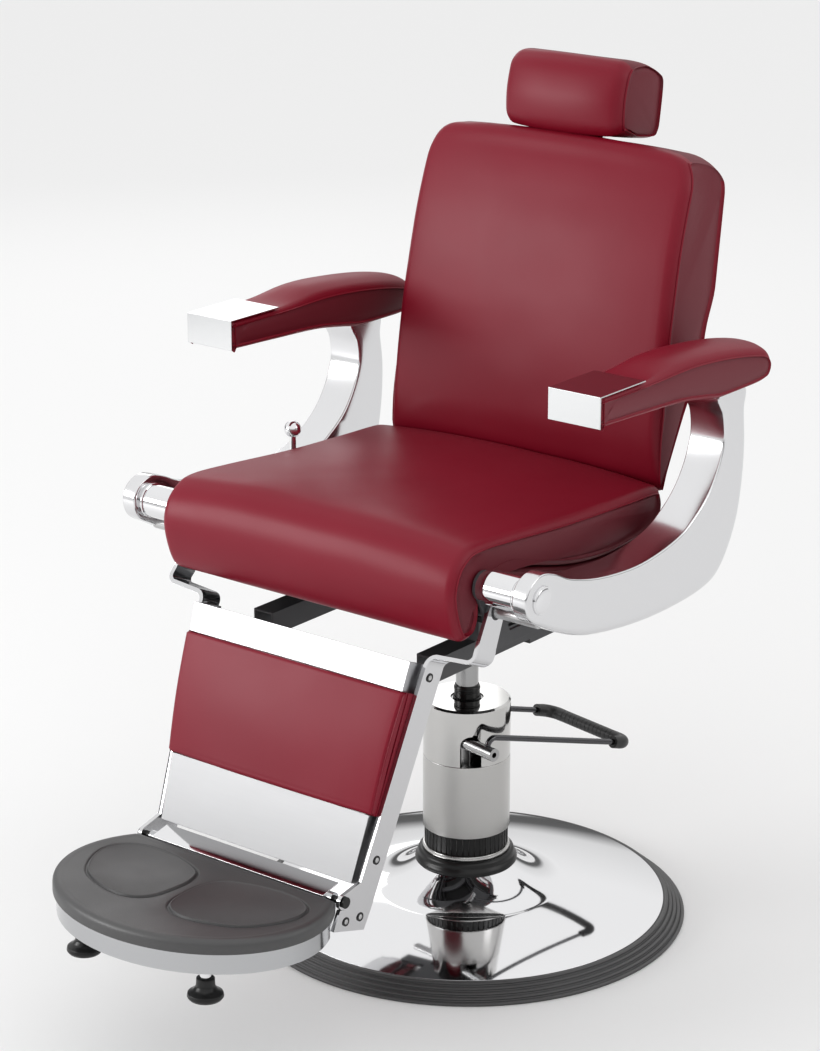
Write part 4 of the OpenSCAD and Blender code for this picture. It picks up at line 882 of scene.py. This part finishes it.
# five rounded ribs that step in and up from the floor to the plate's edge
rim = {
    "outer": 336.5, "inner": 300.8, "ribs": 5, "step": 6.2, "rise": 5.1, "segments": 224,
    "edge": 0.35,
    # one rib from its foot up, as steps outwards and upwards
    "rib": [(-0.9, 0), (0, 1.2), (-0.3, 3.0), (-2.2, 4.3), (-4.6, 4.4), (-5.9, 3.6)],
    "seat": [(305.4, 26.2), (304.3, 25.6), (304.3, 16), (300.8, 15.7)],
}
rim["profile"] = [(rim["inner"], 0), (rim["outer"] - 1.5, 0)]
for k in range(rim["ribs"]):
    r, z = rim["outer"] - rim["step"] * k, 1.4 + rim["rise"] * k
    rim["profile"] += [(r + out, z + up) for out, up in rim["rib"]]
rim["profile"] += rim["seat"]
makeLathe("baseRim", rim, "rubber", "base_rim")

baseCollar = {
    "profile": [(63, 75), (72.3, 75), (72.3, 84.3), (78, 84.3), (78.2, 87), (77.6, 90),
                (75.2, 93), (73.6, 96), (73.8, 99), (72.6, 102), (70, 104), (63, 104)],
    "edge": 0.5,
}
makeLathe("baseCollar", baseCollar, "rubber", "base_collar")

coverSkirt = {
    "profile": [(60.6, 92), (62.0, 92), (62.0, 107), (63.0, 107.6), (63.0, 155), (60.6, 155)],
    "edge": 0.3,
}
makeLathe("coverSkirt", coverSkirt, "dark", "cover_skirt")

skirtLip = {
    "profile": [(63.2, 104), (66.4, 104), (67.2, 105.4), (67.2, 108.6), (66, 111.4),
                (63.2, 112)],
    "edge": 0.3,
}
makeLathe("skirtLip", skirtLip, "satin")

coverLower = {
    "profile": [(64.4, 141), (65.6, 141), (66.4, 141.8), (66.4, 257.4), (65.8, 258),
                (64.4, 258)],
    "edge": 0.2,
}
makeLathe("coverLower", coverLower, "satin", "cover_lower")

glandNut = {
    "profile": [(17.06, 347), (21.5, 347), (21.5, 348.6), (19.4, 349.4), (19.4, 358),
                (18.6, 358.8), (18.6, 360.6), (20, 361.4), (20, 365), (19, 366.4),
                (18.5, 369), (17.06, 369)],
    "edge": 0.3, "segments": 96,
}
makeLathe("glandNut", glandNut, "dark", "gland_nut")
print("base and pump turned parts")


def makeNodesTree(name, values, materials, takesPoints):
    # an empty Geometry Nodes group with named inputs for its sizes and its materials
    tree = bpy.data.node_groups.new(name, "GeometryNodeTree")
    new = tree.interface.new_socket
    if takesPoints:
        new(name="Geometry", in_out="INPUT", socket_type="NodeSocketGeometry")
    for label, value in values.items():
        kind = "NodeSocketInt" if isinstance(value, int) else "NodeSocketFloat"
        new(name=label, in_out="INPUT", socket_type=kind).default_value = value
    for label in materials:
        new(name=label, in_out="INPUT", socket_type="NodeSocketMaterial")
    new(name="Geometry", in_out="OUTPUT", socket_type="NodeSocketGeometry")
    return tree, tree.nodes.new("NodeGroupInput"), tree.nodes.new("NodeGroupOutput")


def ribMaker(values):
    # upright ribs evenly round a circle
    tree, start, end = makeNodesTree("ribsRound", values, ["Material"], False)
    add, link = tree.nodes.new, tree.links.new
    circle, toPoints = add("GeometryNodeMeshCircle"), add("GeometryNodeMeshToPoints")
    rib, place = add("GeometryNodeMeshCylinder"), add("GeometryNodeInstanceOnPoints")
    real, smooth = add("GeometryNodeRealizeInstances"), add("GeometryNodeSetShadeSmooth")
    paint = add("GeometryNodeSetMaterial")
    rib.inputs["Vertices"].default_value = 10
    link(start.outputs["Count"], circle.inputs["Vertices"])
    link(start.outputs["Radius"], circle.inputs["Radius"])
    link(circle.outputs["Mesh"], toPoints.inputs["Mesh"])
    link(start.outputs["Rib Radius"], rib.inputs["Radius"])
    link(start.outputs["Rib Height"], rib.inputs["Depth"])
    link(toPoints.outputs[0], place.inputs["Points"])
    link(rib.outputs["Mesh"], place.inputs["Instance"])
    link(place.outputs[0], real.inputs[0])
    link(real.outputs[0], smooth.inputs["Geometry"])
    link(smooth.outputs[0], paint.inputs["Geometry"])
    link(start.outputs["Material"], paint.inputs["Material"])
    link(paint.outputs[0], end.inputs[0])
    return tree


def screwMaker(values):
    # a dark countersunk ring with a round head at every point, its axis along X
    tree, start, end = makeNodesTree("screws", values, ["Ring Material", "Material"], True)
    add, link = tree.nodes.new, tree.links.new
    points, join = add("GeometryNodeMeshToPoints"), add("GeometryNodeJoinGeometry")
    ring, head = add("GeometryNodeMeshCylinder"), add("GeometryNodeMeshUVSphere")
    ring.inputs["Vertices"].default_value = 24
    head.inputs["Segments"].default_value = 20
    head.inputs["Rings"].default_value = 12
    link(start.outputs["Geometry"], points.inputs["Mesh"])
    link(start.outputs["Ring Radius"], ring.inputs["Radius"])
    link(start.outputs["Ring Height"], ring.inputs["Depth"])
    link(start.outputs["Head Radius"], head.inputs["Radius"])
    for shape, material, squash in ((ring, "Ring Material", 1.0), (head, "Material", 0.45)):
        place, real = add("GeometryNodeInstanceOnPoints"), add("GeometryNodeRealizeInstances")
        paint = add("GeometryNodeSetMaterial")
        place.inputs["Rotation"].default_value = (0, math.pi / 2, 0)
        place.inputs["Scale"].default_value = (1, 1, squash)
        link(points.outputs[0], place.inputs["Points"])
        link(shape.outputs["Mesh"], place.inputs["Instance"])
        link(place.outputs[0], real.inputs[0])
        link(real.outputs[0], paint.inputs["Geometry"])
        link(start.outputs[material], paint.inputs["Material"])
        link(paint.outputs[0], join.inputs[0])
    link(join.outputs[0], end.inputs[0])
    return tree


def setInputs(mod, values):
    for item in mod.node_group.interface.items_tree:
        if item.in_out == "INPUT" and item.name in values:
            mod[item.identifier] = values[item.name]


def nodesObject(name, tree, values, slot, body, lift=0.0, verts=()):
    # a piece made by a Geometry Nodes group, turned to a plain mesh at the origin
    obj = freshObject(name, bpy.data.meshes.new(name))
    obj.data.from_pydata(list(verts), [], [])
    mod = obj.modifiers.new("nodes", "NODES")
    mod.node_group = tree
    setInputs(mod, dict(values, Material=finishes[slot]))
    bpy.context.view_layer.update()
    flatten(obj)
    obj.data.transform(Matrix.Translation(Vector((0, 0, lift)) * mm))
    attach(obj, body)
    return obj


legScrews = {
    "places": [(-18, -111), (-14, -371), (-42, -460), (-13, -452)], "proud": 0.3,
    "sizes": {"Ring Radius": 0.0064, "Ring Height": 0.0016, "Head Radius": 0.0042},
}


def makeScrews():
    s = legScrews
    spots = [(side * (barFace(z) + s["proud"]), y, z) for side in (1, -1) for y, z in s["places"]]
    points = [tuple(p) for p in leaned(spots, legPlace) * mm]
    values = {"Ring Material": finishes["dark"], **s["sizes"]}
    obj = nodesObject("legScrews", screwMaker(s["sizes"]), values, "steel", "leg_rest",
                      verts=points)
    shadeByAngle(obj.data, 40)
    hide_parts("leg_screws")


bossAxis = {"y": -320, "z": 673, "segments": 96}


def turnAcross(name, profile, node, side):
    # turns an open profile of distance along X and radius about the axis of the arm's boss
    segments = bossAxis["segments"]
    turns = [2 * math.pi * k / segments for k in range(segments)]
    verts = [(side * x, bossAxis["y"] + r * math.cos(a), bossAxis["z"] + r * math.sin(a))
             for x, r in profile for a in turns]
    last = (len(profile) - 1) * segments
    faces = ringFaces(len(profile), segments)
    faces += [tuple(range(segments)), tuple(range(last, last + segments))]
    toObject(name, verts, faces, ("chrome",), "seat", node, smooth=32)


# neck, cone, body, a shallow groove and the collar against the boss
barrel = [(269.6, 21), (280.5, 21), (285.5, 25), (330.9, 25), (331.7, 24.2), (333.7, 24.2),
          (334.5, 25.6), (335.3, 26), (339.9, 26)]
for side, word in sides:
    turnAcross("barrel" + word.title(), barrel, "arm_barrel_" + word, side)

button = {"rim": [(362.3, 20), (366.4, 20), (367.2, 19.4)], "face": 367.2, "crown": 2.7,
          "radius": 17.6, "roundness": 0.8}
buttonProfile = button["rim"] + [
    (button["face"] + button["crown"] * math.sin(a),
     button["radius"] * math.cos(a) ** button["roundness"]) for a in np.linspace(0.0, 1.45, 12)]
for side, word in sides:
    turnAcross("bossButton" + word.title(), buttonProfile, "boss_caps", side)

skirtRibs = {"Count": 44, "Radius": 0.0625, "Rib Height": 0.032, "Rib Radius": 0.0014}
nodesObject("skirtRibs", ribMaker(skirtRibs), skirtRibs, "dark", "base", 124.6)
makeScrews()

# the frame's own hard pieces get small rounded edges, in millimetres
for node in ("cover_upper", "lever_shaft", "lever_loop", "lifting_ram"):
    bevelledCopy(node, 0.35)
bevelledCopy("lever_grip", 0, grow=1.5)
for node in ("swivel_hub", "seat_rails", "front_cross_member", "rear_cross_member",
             "side_plates", "lever_bracket", "seat_pan", "leg_hinge_pins", "recline_link",
             "arm_bracket_left", "arm_bracket_right", "leg_hinge_tube", "back_frame",
             "headrest_bar", "foot_tips", "foot_studs", "foot_hinge_pins", "foot_pan",
             "calf_board", "recline_lever"):
    bevelledCopy(node, 0.6)
for node in ("leg_bar_left", "leg_bar_right", "leg_top_panel", "leg_kick_plate",
             "arm_cap_left", "arm_cap_right"):
    bevelledCopy(node, 0.7)
for node in ("arm_spacers", "back_shell"):
    bevelledCopy(node, 3, segments=4)
print("edges rounded")

footMat = {
    "rear": -531.627, "top": 262.774, "tilt": 2, "rx": 210, "half": 181, "depth": 256,
    "count": 96, "thick": 20, "round": 9, "roundCount": 8,
    "border": [(12, -0.1), (14, -0.5), (17, -0.8)],
    # one foot mark: straight along the rear, a corner at the rear's outer end
    "mark": [(9, -110), (11, -78), (26, -50), (70, -32), (115, -27), (148, -31), (170, -45),
             (179, -65), (178, -88), (164, -120), (140, -149), (104, -167), (64, -176),
             (34, -170), (15, -149)],
    # across the groove round a mark: how far inwards and how high
    "groove": [(-4.6, 0.0), (-3.0, 0.9), (-1.7, 0.5), (-0.7, -2.5), (1.2, -2.9), (2.6, -1.3),
               (4.6, -1.0)],
}
footPlace = (footMat["rear"], footMat["top"], footMat["tilt"])


def footPlan(inset):
    # the mat's outline: a straight rear edge and a wide bow in front
    s, count = footMat, footMat["count"]
    cut = math.sqrt(1 - (s["half"] / s["rx"]) ** 2)
    ry, start = s["depth"] / (1 + cut), math.asin(cut)
    out = []
    for k in range(count + 1):
        a = -start + (math.pi + 2 * start) * k / count
        rear = inset * (1 - cut) if k in (0, count) else 0
        out.append(((s["rx"] - inset) * math.cos(a),
                    -(ry * cut + (ry - inset) * math.sin(a)) - rear))
    return out


def makeMat():
    # moulded body, its top filled between the rings of the two sunk foot marks
    s = footMat
    rings = [(0.4, -s["thick"]), (0, -s["thick"] + 0.6), (0, -s["round"] - 3)]
    rings += [(s["round"] * inset, -s["round"] * drop) for drop, inset in quarter(s["roundCount"])]
    rings += s["border"]
    field, sunk = s["border"][-1]
    n = len(footPlan(0))
    verts = [(x, y, z) for inset, z in rings for x, y in footPlan(inset)]
    faces = ringFaces(len(rings), n) + [tuple(reversed(range(n)))]
    flat = [Vector((x, y)) for x, y in footPlan(field)]
    heights = [sunk] * n
    loops = [list(range(n))]
    for side in (1, -1):
        mark = closedCurve(s["mark"], 8) * (side, 1)
        outward = outwardOf(mark) * side
        for out, height in s["groove"]:
            loops.append(list(range(len(flat), len(flat) + len(mark))))
            flat += [Vector(p) for p in mark - outward * out]
            heights += [sunk + height] * len(mark)
    edges = [(loop[i], loop[(i + 1) % len(loop)]) for loop in loops for i in range(len(loop))]
    filled = geometry.delaunay_2d_cdt(flat, edges, [], 1, 1e-5)
    spots, panels, source = filled[0], filled[2], filled[3]
    base = len(verts)
    verts += [(p.x, p.y, heights[source[i][0]]) for i, p in enumerate(spots)]
    faces += [tuple(base + i for i in panel) for panel in panels]
    obj = toObject("footMat", leaned(verts, footPlace), faces, ("rubber",), "foot_platform",
                   "foot_mat")
    build = bmesh.new()
    build.from_mesh(obj.data)
    bmesh.ops.remove_doubles(build, verts=build.verts, dist=1e-5)
    bmesh.ops.recalc_face_normals(build, faces=build.faces)
    build.to_mesh(obj.data)
    build.free()
    shadeByAngle(obj.data, 45)


makeMat()

# bent leaf that closes the gap between the mat and the kick plate, and folds with the platform
leaf = {
    "profile": [(-531, 256), (-531, 261.4), (-526, 262.6), (-497, 268.6), (-496.6, 266.9),
                (-525, 260.8), (-528.8, 256)],
    "half": 158, "edge": 0.5,
}


def makeLeaf():
    n = len(leaf["profile"])
    verts = [(x, y, z) for x in (-leaf["half"], leaf["half"]) for y, z in leaf["profile"]]
    faces = ringFaces(2, n) + [tuple(range(n)), tuple(range(n, 2 * n))]
    softenEdges(toObject("hingeLeaf", verts, faces, ("chrome",), "foot_platform"), leaf["edge"])


makeLeaf()
print("foot platform")
